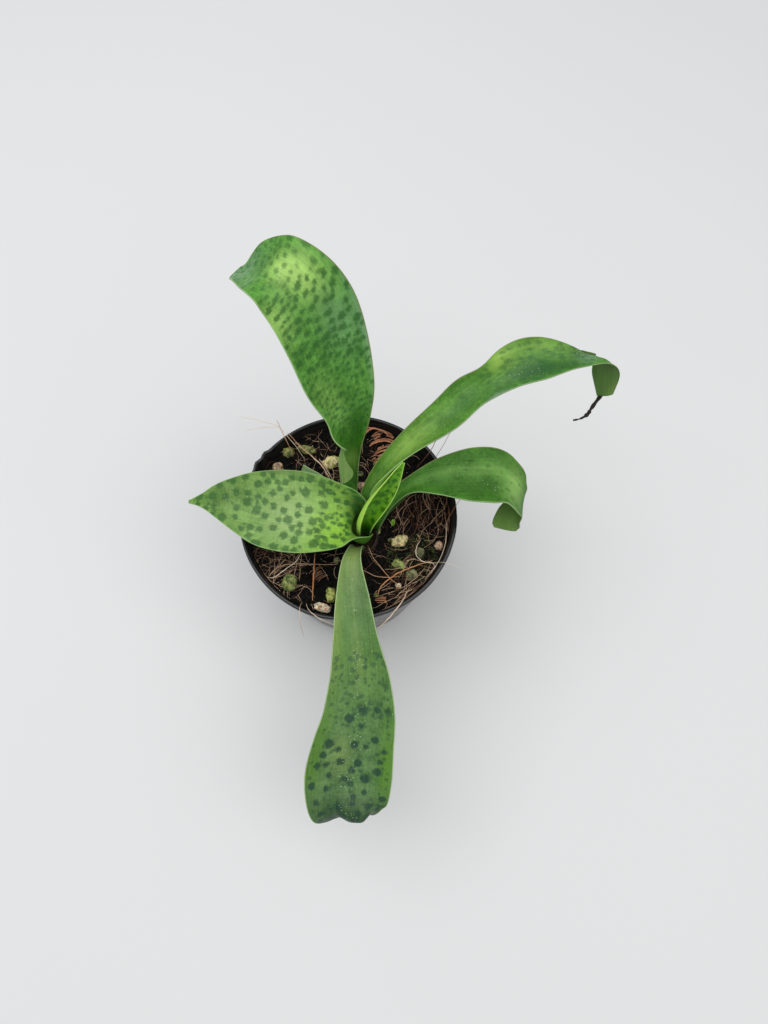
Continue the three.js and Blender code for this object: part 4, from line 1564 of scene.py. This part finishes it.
# The sheath colours carry painted light and shade on the feet's lower faces: the back and long leaves'
# are lightened, the short and left leaves' darkened.
BACK_SKIN = LeafSkin(
    "cuticle_back", ground="#5f9a3c", shade="#326812", yellow="#a4cc68", deep_green_and_shade="#2a6604", bloom_and_sheen="#6c966a",
    spot="#225818", margin="#a9c48f", right_margin="#77764a", underside="#6a8e46", sheath="#88a862",
    blur=0.5,
)
LONG_SKIN = LeafSkin(
    "cuticle_long", ground="#5e9434", shade="#386c16", yellow="#9cc056", deep_green_and_shade="#1f4c24", bloom_and_sheen="#66806a",
    spot="#245a24", margin="#86895a", right_margin="#9fb884", underside="#486a28", sheath="#98cc5e",
    margin_width=0.22,
)
SHORT_SKIN = LeafSkin(
    "cuticle_short", ground="#487e26", shade="#2c5a12", yellow="#94bc68", deep_green_and_shade="#224c0a", bloom_and_sheen="#588444",
    spot="#1e4810", margin="#84875c", right_margin="#9fb884", underside="#5e8038", sheath="#2a4610",
    roughness=0.56, specular=0.3,
)
LEFT_SKIN = LeafSkin(
    "cuticle_left", ground="#7aa04c", shade="#50782a", yellow="#86b82a", deep_green_and_shade="#163a02", bloom_and_sheen="#92ae6c",
    spot="#215414", margin="#8fb070", right_margin="#8fb070", underside="#5c9428", sheath="#4c8420",
    blur=0.55, spot_share=0.78,
)
FRONT_SKIN = LeafSkin(
    "cuticle_front", ground="#64864f", shade="#3a5e30", yellow="#507c22", deep_green_and_shade="#14361a", bloom_and_sheen="#7e9450",
    spot="#163a2a", margin="#b8cc98", right_margin="#b8cc98", blur=0.5, ragged=0.45, spot_share=0.85,
    glints=0.65,
)
YOUNG_SKIN = LeafSkin(
    "cuticle_young", ground="#68a41a", shade="#4a8a08", spot="#265a04", margin="#b4d474",
    right_margin="#a2c662", margin_width=0.22, underside="#a0cc4c", sheath="#a4d050",
)
STUB_SKIN = LeafSkin("cuticle_stub", ground="#6c8a5a", shade="#5c7a4c", margin="#b4c8a0")

LEAVES = (
    Leaf(
        "leaf_back", BACK_SKIN,
        (
            (1.9, -5.2, 70.4, 1.5, 1.7, 0, 22), (1.4, -3, 76.5, 2, 1.4, -0.3, 35),
            (0.8, 6.6, 83.5, 2.9, 0.4, -0.6, 60), (1.5, 10, 95.5, 2.6, 1, -1.7, 95),
            (2.6, 12.5, 107.5, 3.1, 0.4, -1.5, 84), (2.6, 15.6, 119.5, 6.4, 1.5, -1.2, 48),
            (-0.2, 21.4, 132.5, 10.8, 2.2, -0.8, 32), (-3.6, 29.4, 145, 12.6, 2.8, -0.2, 25),
            (-8.2, 37, 154.5, 13.4, 2.8, 0.5, 22), (-14.6, 43.4, 160.5, 12, 4.8, 1.6, 24),
            (-21.2, 48.2, 161, 8.7, 7, 3, 26), (-28, 53, 155, 5.2, 6.2, 3, 27),
            (-33.6, 55.6, 147.6, 2.5, 2.6, 1, 20), (-37, 56.4, 143, 0.3, 0.3, 0, 12),
        ),
        rib=1.5, wave=0.25, waves=3, rows=28,
        # Painted light and shade: yellow washes paint the pool of light across the upper blade and
        # lighten the rolled channel; deep washes paint the shade in the channel; bloom washes paint a
        # bluish sheen.
        washes=(
            Wash(0.685, 0.25, 0.065, 0.45, Tint.YELLOW, 0.85),
            Wash(0.76, 0.1, 0.045, 0.4, Tint.YELLOW, 0.6),
            Wash(0.63, -0.85, 0.055, 0.3, Tint.YELLOW, 0.6), Wash(0.61, 0.2, 0.035, 0.5, Tint.DEEP_GREEN_AND_SHADE, 0.25),
            Wash(0.36, 0.45, 0.05, 0.4, Tint.DEEP_GREEN_AND_SHADE, 0.9), Wash(0.3, 0.2, 0.06, 0.5, Tint.DEEP_GREEN_AND_SHADE, 0.5),
            Wash(0.82, -0.05, 0.04, 0.45, Tint.DEEP_GREEN_AND_SHADE, 0.4), Wash(0.86, 0.6, 0.04, 0.5, Tint.DEEP_GREEN_AND_SHADE, 0.2),
            Wash(0.93, 0.0, 0.08, 1.2, Tint.BLOOM_AND_SHEEN, 0.8), Wash(0.57, 0.5, 0.06, 0.5, Tint.BLOOM_AND_SHEEN, 0.5),
            Wash(0.53, 0.97, 0.1, 0.1, Tint.BLOOM_AND_SHEEN, 0.7), Wash(0.235, 0.4, 0.035, 0.6, Tint.YELLOW, 0.6),
            Wash(0.43, -0.5, 0.05, 0.4, Tint.YELLOW, 0.25), Wash(0.52, 1.0, 0.06, 0.08, Tint.YELLOW, 0.5),
        ),
        spots=(
            Spots(70, 0.66, 0.97, 0.5, 1.0, 1.5, 1.3, 60, 0.95, 3, 0.75),
            Spots(70, 0.5, 0.68, 0.6, 1.1, 1.35, 1.6, 60, 0.92, 4, 0.95),
            Spots(170, 0.33, 0.56, 0.35, 0.7, 1.4, 1.7, 50, 0.95, 6, 0.9),
        ),
        dents=(Dent(0.7, 0.4, 0.05, 0.4, 0.5), Dent(0.9, 0.3, 0.025, 0.6, -0.8)),
        bays=(
            Bay(0.71, Side.RIGHT, 0.06, 1.0), Bay(0.915, Side.RIGHT, 0.016, 0.9),
            Bay(0.43, Side.RIGHT, 0.04, -0.5),
        ),
        rolls=(Roll(0.34, Side.LEFT, 0.035, 0.9), Roll(0.22, Side.LEFT, 0.05, 0.9)),
    ),
    Leaf(
        "leaf_right_long", LONG_SKIN,
        (
            (6.1, -4, 70.4, 2, -0.2, 0, 22), (6.2, -2.4, 77.5, 2.2, -0.6, 0.2, 45),
            (7.6, 4.2, 86, 1.4, -0.9, 1.5, 90), (14, 11, 93.5, 2.4, -2.2, 1.5, 72),
            (25, 19.2, 100.5, 3.4, -3.4, 0.5, 50), (37.2, 27, 106.5, 4, -5, -0.4, 44),
            (46.6, 33.4, 111.5, 3.1, -5.8, -0.8, 42), (58.2, 38.4, 116.5, 3, -6.6, -1.4, 38),
            (70.2, 41.2, 118.5, 1.6, -7.3, -1.6, 35), (83, 43.2, 115.8, 1.9, -3.2, -1.4, 31),
            (91.4, 44.6, 112.4, 2.4, -2.4, 0.2, 20), (95.9, 43.6, 104.5, 4.7, -1.3, 0.5, 14),
            (97.4, 39.2, 95.5, 2.9, -0.3, 0.5, 15),
        ),
        rib=1.5, wave=0.5, waves=3, rows=30,
        # Painted light and shade: yellow washes light the foot and the curled end's underside; deep
        # washes paint shade over the lower half of the broad blade; bloom washes paint a sheen; a glint
        # zone lies mid blade.
        washes=(
            Wash(0.31, 0.0, 0.06, 0.9, Tint.YELLOW, 0.55), Wash(0.19, -0.3, 0.03, 0.8, Tint.YELLOW, 0.2),
            Wash(0.15, 0.0, 0.06, 1.5, Tint.DEEP_GREEN_AND_SHADE, 0.25), Wash(0.45, 0.3, 0.07, 0.5, Tint.DEEP_GREEN_AND_SHADE, 0.3),
            Wash(0.57, -0.6, 0.03, 0.5, Tint.YELLOW, 0.65), Wash(0.6, 0.6, 0.05, 0.4, Tint.DEEP_GREEN_AND_SHADE, 0.4),
            Wash(0.64, 0.1, 0.05, 0.5, Tint.DEEP_GREEN_AND_SHADE, 0.3), Wash(0.79, -0.1, 0.035, 0.7, Tint.BLOOM_AND_SHEEN, 0.8),
            Wash(0.53, 0.95, 0.03, 0.12, Tint.BLOOM_AND_SHEEN, 0.9), Wash(0.6, 0.2, 0.06, 0.4, Tint.PAINTED_GLINTS, 0.9),
            Wash(0.99, 0.7, 0.035, 0.6, Tint.YELLOW, 0.25), Wash(0.69, 0.45, 0.08, 0.5, Tint.DEEP_GREEN_AND_SHADE, 0.7),
            Wash(0.66, -0.7, 0.07, 0.3, Tint.YELLOW, 0.3), Wash(0.53, 0.7, 0.05, 0.4, Tint.DEEP_GREEN_AND_SHADE, 0.25),
        ),
        spots=(
            Spots(60, 0.52, 0.8, 0.5, 1.1, 1.2, 1.5, 10, 0.9, 5, 0.65),
            Spots(60, 0.22, 0.55, 0.5, 1.1, 1.3, 1.8, 10, 0.9, 9, 0.25),
        ),
        dents=(
            Dent(0.58, -0.6, 0.035, 0.5, 1.6), Dent(0.5, -0.3, 0.03, 0.7, -1.0),
            Dent(0.66, 0.5, 0.04, 0.5, 0.8), Dent(0.865, 0.2, 0.05, 0.8, 1.8),
        ),
        bays=(
            Bay(0.4, Side.LEFT, 0.05, 0.5), Bay(0.53, Side.LEFT, 0.035, 1.9),
            Bay(0.62, Side.LEFT, 0.04, -0.8), Bay(0.8, Side.LEFT, 0.05, 2.2),
            Bay(0.37, Side.RIGHT, 0.06, -1.8),
        ),
    ),
    Leaf(
        "leaf_right_short", SHORT_SKIN,
        (
            (10, -6.3, 70.4, 1.3, -1.8, 0, 22), (11.2, -5.2, 77.5, 1.4, -1.8, 0.2, 45),
            (16, 0.2, 84.5, 1.3, -2.1, 1, 85), (23, 4.6, 89.5, 1.8, -2.7, 1.3, 60),
            (33.5, 6.8, 92, 1.9, -6.4, -0.4, 36), (45, 7.4, 93.2, 1.6, -9.8, -1, 28),
            (55, 7.4, 92.6, 0.8, -10.4, -1.4, 25), (61.4, 5.5, 90.8, -0.9, -9.7, 0, 25),
            (65.6, 2, 86, -1.8, -7.9, 0.5, 16), (67.4, 0.2, 78.5, -1, -6.5, 1.4, 8),
            (64.1, -0.6, 72.6, 4, -3.5, 2, 12), (62, -2.8, 69.4, 5.1, -1.1, 1, 12),
            (61.4, -5, 67.4, 5.2, -0.4, 0, 10),
        ),
        rib=1.5, wave=0.3, waves=2, rows=26,
        # Painted light and shade: yellow washes paint the pale band and the lit lower right; a deep wash
        # paints the darker lower middle; a glint zone lies mid blade.
        washes=(
            Wash(0.46, -0.25, 0.2, 0.2, Tint.YELLOW, 0.22), Wash(0.625, 0.0, 0.07, 0.8, Tint.YELLOW, 0.6),
            Wash(0.55, 0.5, 0.1, 0.5, Tint.PAINTED_GLINTS, 0.8), Wash(0.45, 0.5, 0.12, 0.4, Tint.DEEP_GREEN_AND_SHADE, 0.5),
        ),
        spots=(Spots(30, 0.36, 0.75, 0.4, 0.9, 2.2, 1.4, 0, 0.9, 8, 0.5),),
        bays=(
            Bay(0.57, Side.LEFT, 0.05, 0.9), Bay(0.7, Side.LEFT, 0.06, 1.1),
            Bay(0.74, Side.RIGHT, 0.05, 1.8), Bay(0.85, Side.RIGHT, 0.025, 0.6),
            Bay(1.0, Side.LEFT, 0.025, 0.8), Bay(1.0, Side.RIGHT, 0.03, 0.8),
        ),
        dents=(Dent(0.5, 0.5, 0.08, 0.4, -0.4),),
    ),
    Leaf(
        "leaf_left", LEFT_SKIN,
        (
            (6.8, -9.6, 70.4, 0, 1.8, 0, 116), (7.2, -9.5, 79.5, 0, 3.9, 0.6, 112),
            (5.6, -8.2, 84.4, -0.6, 6, 2.2, 72), (1, -6.9, 87, -0.2, 9.8, 2.6, 42),
            (-6.8, -6.6, 88.2, 0.2, 13, 2.4, 26), (-17.4, -5.6, 88.6, 0.4, 15.1, 2, 18),
            (-28.6, -4.3, 88.2, -0.3, 14.5, 1.8, 15), (-38.6, -1.7, 86.6, 0.2, 11.6, 1.5, 14),
            (-48.6, 0.8, 84, 0.2, 6.8, 1, 12), (-55.4, 1.6, 81.6, 0.4, 2.6, 0.5, 10),
            (-60.8, 1.9, 79, 0, 0.5, 0, 8),
        ),
        rib=1.3, wave=0.2, waves=3, rows=26,
        # Painted light and shade: deep washes paint the shade round the neck; the yellow washes are the
        # foot's own yellow green, partly lit; a bloom wash gives the middle's bloom and sheen; a glint
        # zone lies towards the tip.
        washes=(
            Wash(0.34, -0.3, 0.12, 1.0, Tint.YELLOW, 0.8), Wash(0.16, 0.1, 0.09, 0.9, Tint.DEEP_GREEN_AND_SHADE, 1.1),
            Wash(0.26, 0.5, 0.06, 0.4, Tint.DEEP_GREEN_AND_SHADE, 0.75), Wash(0.8, 0.3, 0.12, 0.9, Tint.DEEP_GREEN_AND_SHADE, 0.4),
            Wash(0.6, 1.0, 0.16, 0.16, Tint.DEEP_GREEN_AND_SHADE, 0.35), Wash(0.43, -0.25, 0.04, 0.35, Tint.YELLOW, 0.4),
            Wash(0.53, -0.1, 0.1, 0.7, Tint.BLOOM_AND_SHEEN, 0.7), Wash(0.72, 0.0, 0.1, 0.3, Tint.PAINTED_GLINTS, 1.0),
        ),
        spots=(
            Spots(66, 0.4, 0.95, 1.2, 1.9, 1.12, 1.0, 0, 0.92, 12),
            Spots(30, 0.4, 0.95, 0.4, 0.8, 1.5, 1.0, 0, 0.95, 14),
            Spots(40, 0.26, 0.44, 0.6, 1.3, 1.2, 1.5, 15, 0.95, 13, 1.15),
        ),
        bays=(
            Bay(0.72, Side.LEFT, 0.12, 0.6), Bay(0.65, Side.RIGHT, 0.15, -0.5),
            Bay(0.26, Side.LEFT, 0.06, -1.2),
        ),
        rolls=(Roll(0.08, Side.LEFT, 0.06, 0.45),),
    ),
    Leaf(
        "leaf_front", FRONT_SKIN,
        (
            (4.3, -13, 70.4, -2.2, 0.6, 0, 24), (3.2, -15.2, 77, -2.4, 0, 0, 32),
            (1.8, -22.8, 80.6, -3.6, -0.6, 0, 38), (2.6, -37, 81.4, -6.2, -0.2, 0, 32),
            (4, -51, 79, -8.5, 0, 0, 26), (5.2, -65, 74.2, -11, -0.4, 0, 22),
            (4.6, -77, 69, -13.4, -0.8, 0, 20), (2.2, -88, 63, -15.3, -1, 0, 18),
            (0.7, -99, 56, -16, -0.8, 0, 19), (0.6, -109, 50, -14, -2.4, 0, 20),
            (1.3, -111.6, 43, -9.4, -1.4, 0, 18), (1.7, -110, 36.4, -4.4, -0.6, 0, 14),
            (2, -106.6, 32, -0.5, 0, 0, 10),
        ),
        rib=1.5, wave=0.1, waves=4, rows=28,
        # A glint zone lays painted highlights along the midrib.
        washes=(
            Wash(0.12, 0.0, 0.09, 0.9, Tint.BLOOM_AND_SHEEN, 1.0), Wash(0.27, 0.9, 0.14, 0.25, Tint.BLOOM_AND_SHEEN, 0.6),
            Wash(0.36, 0.0, 0.08, 0.2, Tint.BLOOM_AND_SHEEN, 0.3), Wash(0.61, 0.25, 0.05, 0.25, Tint.BLOOM_AND_SHEEN, 0.5),
            Wash(0.62, -0.85, 0.12, 0.2, Tint.YELLOW, 0.9), Wash(0.6, 0.85, 0.12, 0.2, Tint.YELLOW, 0.8),
            Wash(0.33, 0.8, 0.1, 0.25, Tint.YELLOW, 0.5), Wash(0.36, 0.0, 0.14, 1.5, Tint.YELLOW, 0.45),
            Wash(0.22, -0.4, 0.12, 0.4, Tint.DEEP_GREEN_AND_SHADE, 0.35), Wash(0.83, 0.0, 0.06, 1.5, Tint.DEEP_GREEN_AND_SHADE, 1.0),
            Wash(0.74, 0.1, 0.045, 1.1, Tint.DEEP_GREEN_AND_SHADE, 0.5), Wash(0.5, 0.0, 0.28, 0.22, Tint.PAINTED_GLINTS, 1.4),
        ),
        spots=(
            Spots(46, 0.48, 0.86, 1.1, 1.9, 1.2, 1.0, 0, 0.85, 21),
            Spots(30, 0.36, 0.5, 0.7, 1.2, 1.5, 1.0, 0, 0.9, 23, 0.6),
            Spots(170, 0.36, 0.88, 0.35, 0.8, 1.3, 1.0, 0, 0.97, 22, 0.8),
        ),
        dents=(
            Dent(0.79, 0.0, 0.07, 0.28, 3.2), Dent(0.79, -0.4, 0.07, 0.28, 3.8),
            Dent(0.76, 0.5, 0.04, 0.12, -0.7), Dent(0.45, 0.0, 0.2, 0.12, -0.35),
        ),
        bays=(Bay(0.33, Side.LEFT, 0.06, 0.8), Bay(0.55, Side.RIGHT, 0.08, 1.1)),
    ),
    Leaf(
        "leaf_young", YOUNG_SKIN,
        (
            (6.2, -10.4, 71.5, 1.3, -0.2, -1.1, 100), (6.4, -10.6, 81, 1.8, -0.2, -1.4, 100),
            (7.8, -9.2, 87.5, 2.4, -0.4, -1.8, 96), (11.4, -5.6, 94, 3, -0.4, -2.2, 84),
            (15.2, -2, 100, 2.5, -0.6, -1.7, 75), (18.2, 1.6, 105, 1.5, -0.4, -0.9, 60),
            (20.6, 5, 109, 0.4, 0, 0, 20),
        ),
        rib=1.1, wave=0.1, waves=2, rows=16,
        # A deep wash paints the shade where the foot sits in the left leaf's sheath.
        washes=(
            Wash(0.12, 0.0, 0.14, 3.0, Tint.DEEP_GREEN_AND_SHADE, 0.85), Wash(0.68, 0.85, 0.15, 0.3, Tint.YELLOW, 0.4),
        ),
        spots=(Spots(30, 0.3, 0.95, 0.5, 1.2, 1.2, 1.4, 0, 0.9, 31),),
        rolls=(Roll(0.1, Side.LEFT, 0.35, 0.5),),
    ),
    Leaf(
        "leaf_stub", STUB_SKIN,
        (
            (-0.5, -9.5, 70.4, 0, 1.3, 0, 15), (-3.2, -7.6, 75, 0.6, 1.5, 0, 24),
            (-6.8, 0.6, 77.6, 2.2, 2.8, 0.4, 28), (-11.6, 8.2, 79, 1.3, 4.2, 0.4, 25),
            (-19.6, 13.2, 78, -1.6, 4.6, 0.4, 22),
        ),
        rib=1.2, wave=0, waves=1, rows=8,
    ),
    Leaf(
        "sprout", YOUNG_SKIN,
        (
            (17.4, -3.6, 66.2, 0.4, 0, 0, 20), (17.4, -3, 67.4, 0.6, 0, 0, 20),
            (17.5, -2.2, 68.2, 0.6, 0, 0, 20), (17.6, -1.6, 68.5, 0.2, 0, 0, 20),
        ),
        rib=0.5, wave=0, waves=1, rows=6, in_solid=False,
    ),
)

OLIVE = Pumice("pumice_olive", "#8c8c4c", "#46582a", 0.5)
CREAM = Pumice("pumice_cream", "#dccb96", "#8c983c", 0.5)
PINK = Pumice("pumice_pink", "#bc9c80", "#7c7044", 0.4)
SAGE = Pumice("pumice_sage", "#7c7c54", "#464e2a", 0.5)
GREEN = Pumice("pumice_green", "#8c9450", "#46602a", 0.6)
WHITE = Pumice("pumice_white", "#e6d8b8", "#b8704c", 0.35)
YELLOW = Pumice("pumice_yellow", "#b4b662", "#708a34", 0.5)

PEBBLES = (
    Pebble("grit_back_olive", -25, 28, 5, 4, 4, 10, OLIVE),
    Pebble("grit_back_pink", -29, 21.5, 4.2, 4.2, 4, 40, PINK),
    Pebble("grit_back_flat", -18, 29.5, 8.6, 3.6, 3, -8, OLIVE),
    Pebble("grit_back_cream", -7.4, 23.6, 7.2, 5.2, 5, 15, CREAM),
    Pebble("grit_neck_cream", 5.4, 13.6, 4, 3.4, 3.6, 5, PINK),
    Pebble("grit_neck_small", 4.4, 19, 2.4, 2.2, 2.4, 0, SAGE),
    Pebble("grit_right_yellow", 20, -9.8, 6.4, 4.4, 4.6, 12, CREAM),
    Pebble("grit_right_green", 19.6, -19.2, 5.6, 3.6, 3.8, -28, GREEN),
    Pebble("grit_right_pink", 35.4, -11.6, 3.4, 3.6, 3.6, 20, PINK),
    Pebble("grit_right_sage", 27.8, -14.4, 3.4, 4, 3.4, 60, SAGE),
    Pebble("grit_front_grey", 24.4, -23.6, 4.6, 4.2, 3.6, 30, SAGE),
    Pebble("grit_front_pale", 19.4, -27.8, 2.4, 2.2, 2.4, 0, WHITE),
    Pebble("grit_left_green", -22.4, -26.8, 6.6, 5.6, 5.6, 80, GREEN),
    Pebble("grit_front_yellow", -6.4, -31.4, 3.8, 6, 4.6, 0, YELLOW),
    Pebble("grit_front_white", -9.4, -36.6, 6.4, 3.6, 4.2, -18, WHITE),
    Pebble("grit_left_small", -4.4, -17.6, 2.4, 3, 2.6, 0, SAGE),
    Pebble("crumb_neck_cream", 11.4, -6.4, 2, 2.6, 2.2, 20, CREAM, False),
    Pebble("crumb_right_olive", 16.6, -9.6, 2.4, 2, 2, 0, SAGE, False),
    Pebble("crumb_front_olive", 11, -31.5, 2, 1.6, 1.6, 0, OLIVE, False),
    Pebble("crumb_back_tan", 15.1, 31.4, 1.6, 1.4, 1.4, 0, PINK, False),
)

RED_BARK = PineBark("bark_red")
BROWN_BARK = PineBark("bark_brown", "#2e1d14", "#8f6a52")

CHIPS = (
    Chip("bark_back_long", 12.8, 33.4, 15, 5.2, 3.4, 4, RED_BARK, 5, 2.2),
    Chip("bark_back_middle", 14.4, 29, 11, 3.6, 3, 12, RED_BARK, 3, 1.4),
    Chip("bark_back_near", 12.6, 25.2, 8.6, 3, 2.6, 20, RED_BARK, 3, 0.8),
    Chip("bark_shreds", 11.6, 36.2, 14, 3.6, 3, 2, RED_BARK, 3, 2.8, 1.4, False),
    Chip("bark_front_left", -11.4, -23.2, 5.6, 5.2, 3, 35, BROWN_BARK, 7, 0.3),
    Chip("bark_front_right", 13.6, -33.6, 6, 2.4, 1.8, -4, RED_BARK, 4, 0.2),
)

STRANDS = (
    Strand(((10.9, -32.2, 0.4), (13.9, -27.1, 2.2), (20.8, -22.7, 3.4), (32.8, -17.9, 1.6)), 0.28, 0.5),
    Strand(((-12.9, -15.1, 1.2), (-13.1, -24, 2.6), (-13.4, -33.7, 0.6)), 0.3, 0.45),
    Strand(
        (
            (-31, -24.7, 0.6), (-28.5, -25, 1.4), (-26, -23.5, 2.2), (-20.5, -19.1, 2.8),
            (-17.9, -15.1, 2.4),
        ),
        0.16, 1.0,
    ),
    Strand(((-31, -24.7, 0.6), (-27, -20.6, 1.2), (-20.4, -19.5, 1.8), (-3.9, -19.5, 1.2)), 0.13, 0.7),
    Strand(
        (
            (28.3, -9.4, 1.4), (26.5, -13, 3), (26.5, -16.4, 3), (28.9, -18.9, 3), (32.6, -19.2, 2.6),
            (33.6, -22, 1),
        ),
        0.12, 1.1,
    ),
    Strand(((-25.1, 34, 7.4), (-19.9, 29.1, 5), (-11.7, 22.1, 3.4), (-8.4, 16.5, 1.2)), 0.2, 0.6),
    Strand(((-22, 30.4, 5), (-14, 24, 4), (-9.4, 18.6, 3), (-7.2, 14.8, 1.2)), 0.14, 0.95),
    Strand(((-12.4, 24.6, 3), (-9.6, 20.4, 3.4), (-6.4, 15.2, 1.4)), 0.16, 0.8),
    Strand(((-23, 26, 1), (-24.8, 29.4, 8), (-26.4, 32, 10), (-29, 37.6, 12)), 0.16, 0.6),
    Strand(
        ((-18, 24.6, 1), (-22, 29, 6), (-28.7, 35.5, 9.6), (-34.7, 37.4, 10.4), (-44.5, 39.6, 10.2)),
        0.12, 0.9,
    ),
    Strand(((-28.7, 35.5, 9.6), (-34.9, 34.7, 10), (-41.5, 33.8, 10)), 0.1, 0.9),
    Strand(((7.6, -13, 3), (9.8, -17.6, 3.4), (16, -25, 3), (20.5, -28.6, 1)), 0.13, 0.6),
    Strand(((5, -21.5, 1), (12, -24.6, 2), (20, -24.2, 1.4)), 0.13, 0.65),
    Strand(((36.4, -6.4, 1), (38.6, -3, 6.4), (41.8, 2.4, 8), (45.9, 7.1, 9.6)), 0.1, 0.25),
    Strand(((27, 21, 1), (32.4, 25.8, 7), (36.5, 33.5, 9.2), (39.6, 38.6, 11)), 0.14, 0.15),
    Strand(((29, 19, 1), (34, 22.4, 7), (38.6, 29.8, 8.4), (41.4, 35.4, 9)), 0.1, 0.2),
    Strand(
        (
            (-17.4, -34.4, 1), (-17.4, -38.4, 6.9), (-17, -41.8, 7.4), (-17.2, -43.6, 4.5),
            (-17.6, -44, -6), (-18, -44.2, -18),
        ),
        0.12, 0.8,
    ),
    Strand(
        ((-15.8, -34.6, 1), (-13.8, -39, 7), (-10, -42, 7.6), (-2.6, -45.2, 5), (-5.6, -46.4, 0)), 0.14,
        0.85,
    ),
    Strand(
        ((23, -29.6, 1), (20.6, -35.6, 6.9), (17.6, -39.6, 7.2), (13.6, -43.6, 6), (9.6, -46, 3.4)), 0.2,
        0.85,
    ),
    Strand(((38.4, -3, 2.8), (37.6, -12, 3.2), (34.6, -19.4, 3.2), (29.6, -26, 2.4)), 0.12, 0.9),
    Strand(((33, -18.6, 1), (36.8, -20.4, 6.9), (40, -21.4, 7.6), (42.6, -22.6, 7.4)), 0.08, 0.95),
)

STREWINGS = (
    Strewing(320, (0, 0), 40, (5, 18), (0.05, 0.12), (-0.3, 0.2), rise=1.2, seed=51),
    Strewing(180, (0, 0), 40, (3, 12), (0.04, 0.08), (0.3, 1.2), rise=2.4, seed=56),
    Strewing(260, (0, 0), 40, (1.5, 5), (0.05, 0.1), (0.1, 1.1), rise=0.8, seed=57),
    Strewing(420, (25, -16), 10, (1.2, 3.6), (0.06, 0.12), (0.0, 1.1), rise=1.6, seed=58, finish=Moss()),
    Strewing(110, (29, 2), 13, (6, 20), (0.05, 0.12), (-0.1, 0.9), 82, 40, 3.4, 1.3, 52),
    Strewing(120, (26, -30), 13, (6, 18), (0.04, 0.1), (0.2, 1.3), 32, 55, 3.0, 0.6, 53),
    Strewing(90, (-28, -22), 12, (6, 18), (0.04, 0.1), (0.1, 1.2), 30, 60, 2.6, 0.6, 54),
    Strewing(80, (-6, 24), 16, (4, 14), (0.04, 0.1), (0.0, 1.0), 120, 70, 2.6, 0.8, 55),
)

TIP = WitheredTip(
    ((96.3, 39.2, 96), (93.4, 36, 90.8), (92, 34, 89.4), (89.4, 32.6, 88.4), (86.6, 32, 88.2)),
    (0.62, 0.95, 0.72, 0.42, 0.46),
)


def main() -> None:
    """Builds the part's looks and its stage."""
    logging.basicConfig(level=logging.INFO, format="%(message)s")
    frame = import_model()
    LOG.info("%d solids to dress", len(frame["nodes"]))
    Studio().build()
    Pot().build(ThermoformedPolystyrene())
    Mix(STRANDS, STREWINGS).build()
    for seed, pebble in enumerate(PEBBLES):
        pebble.build(seed)
    for seed, chip in enumerate(CHIPS):
        chip.build(seed)
    Bulb().build()
    for leaf in LEAVES:
        leaf.build()
    TIP.build()


if __name__ == "__main__":
    main()
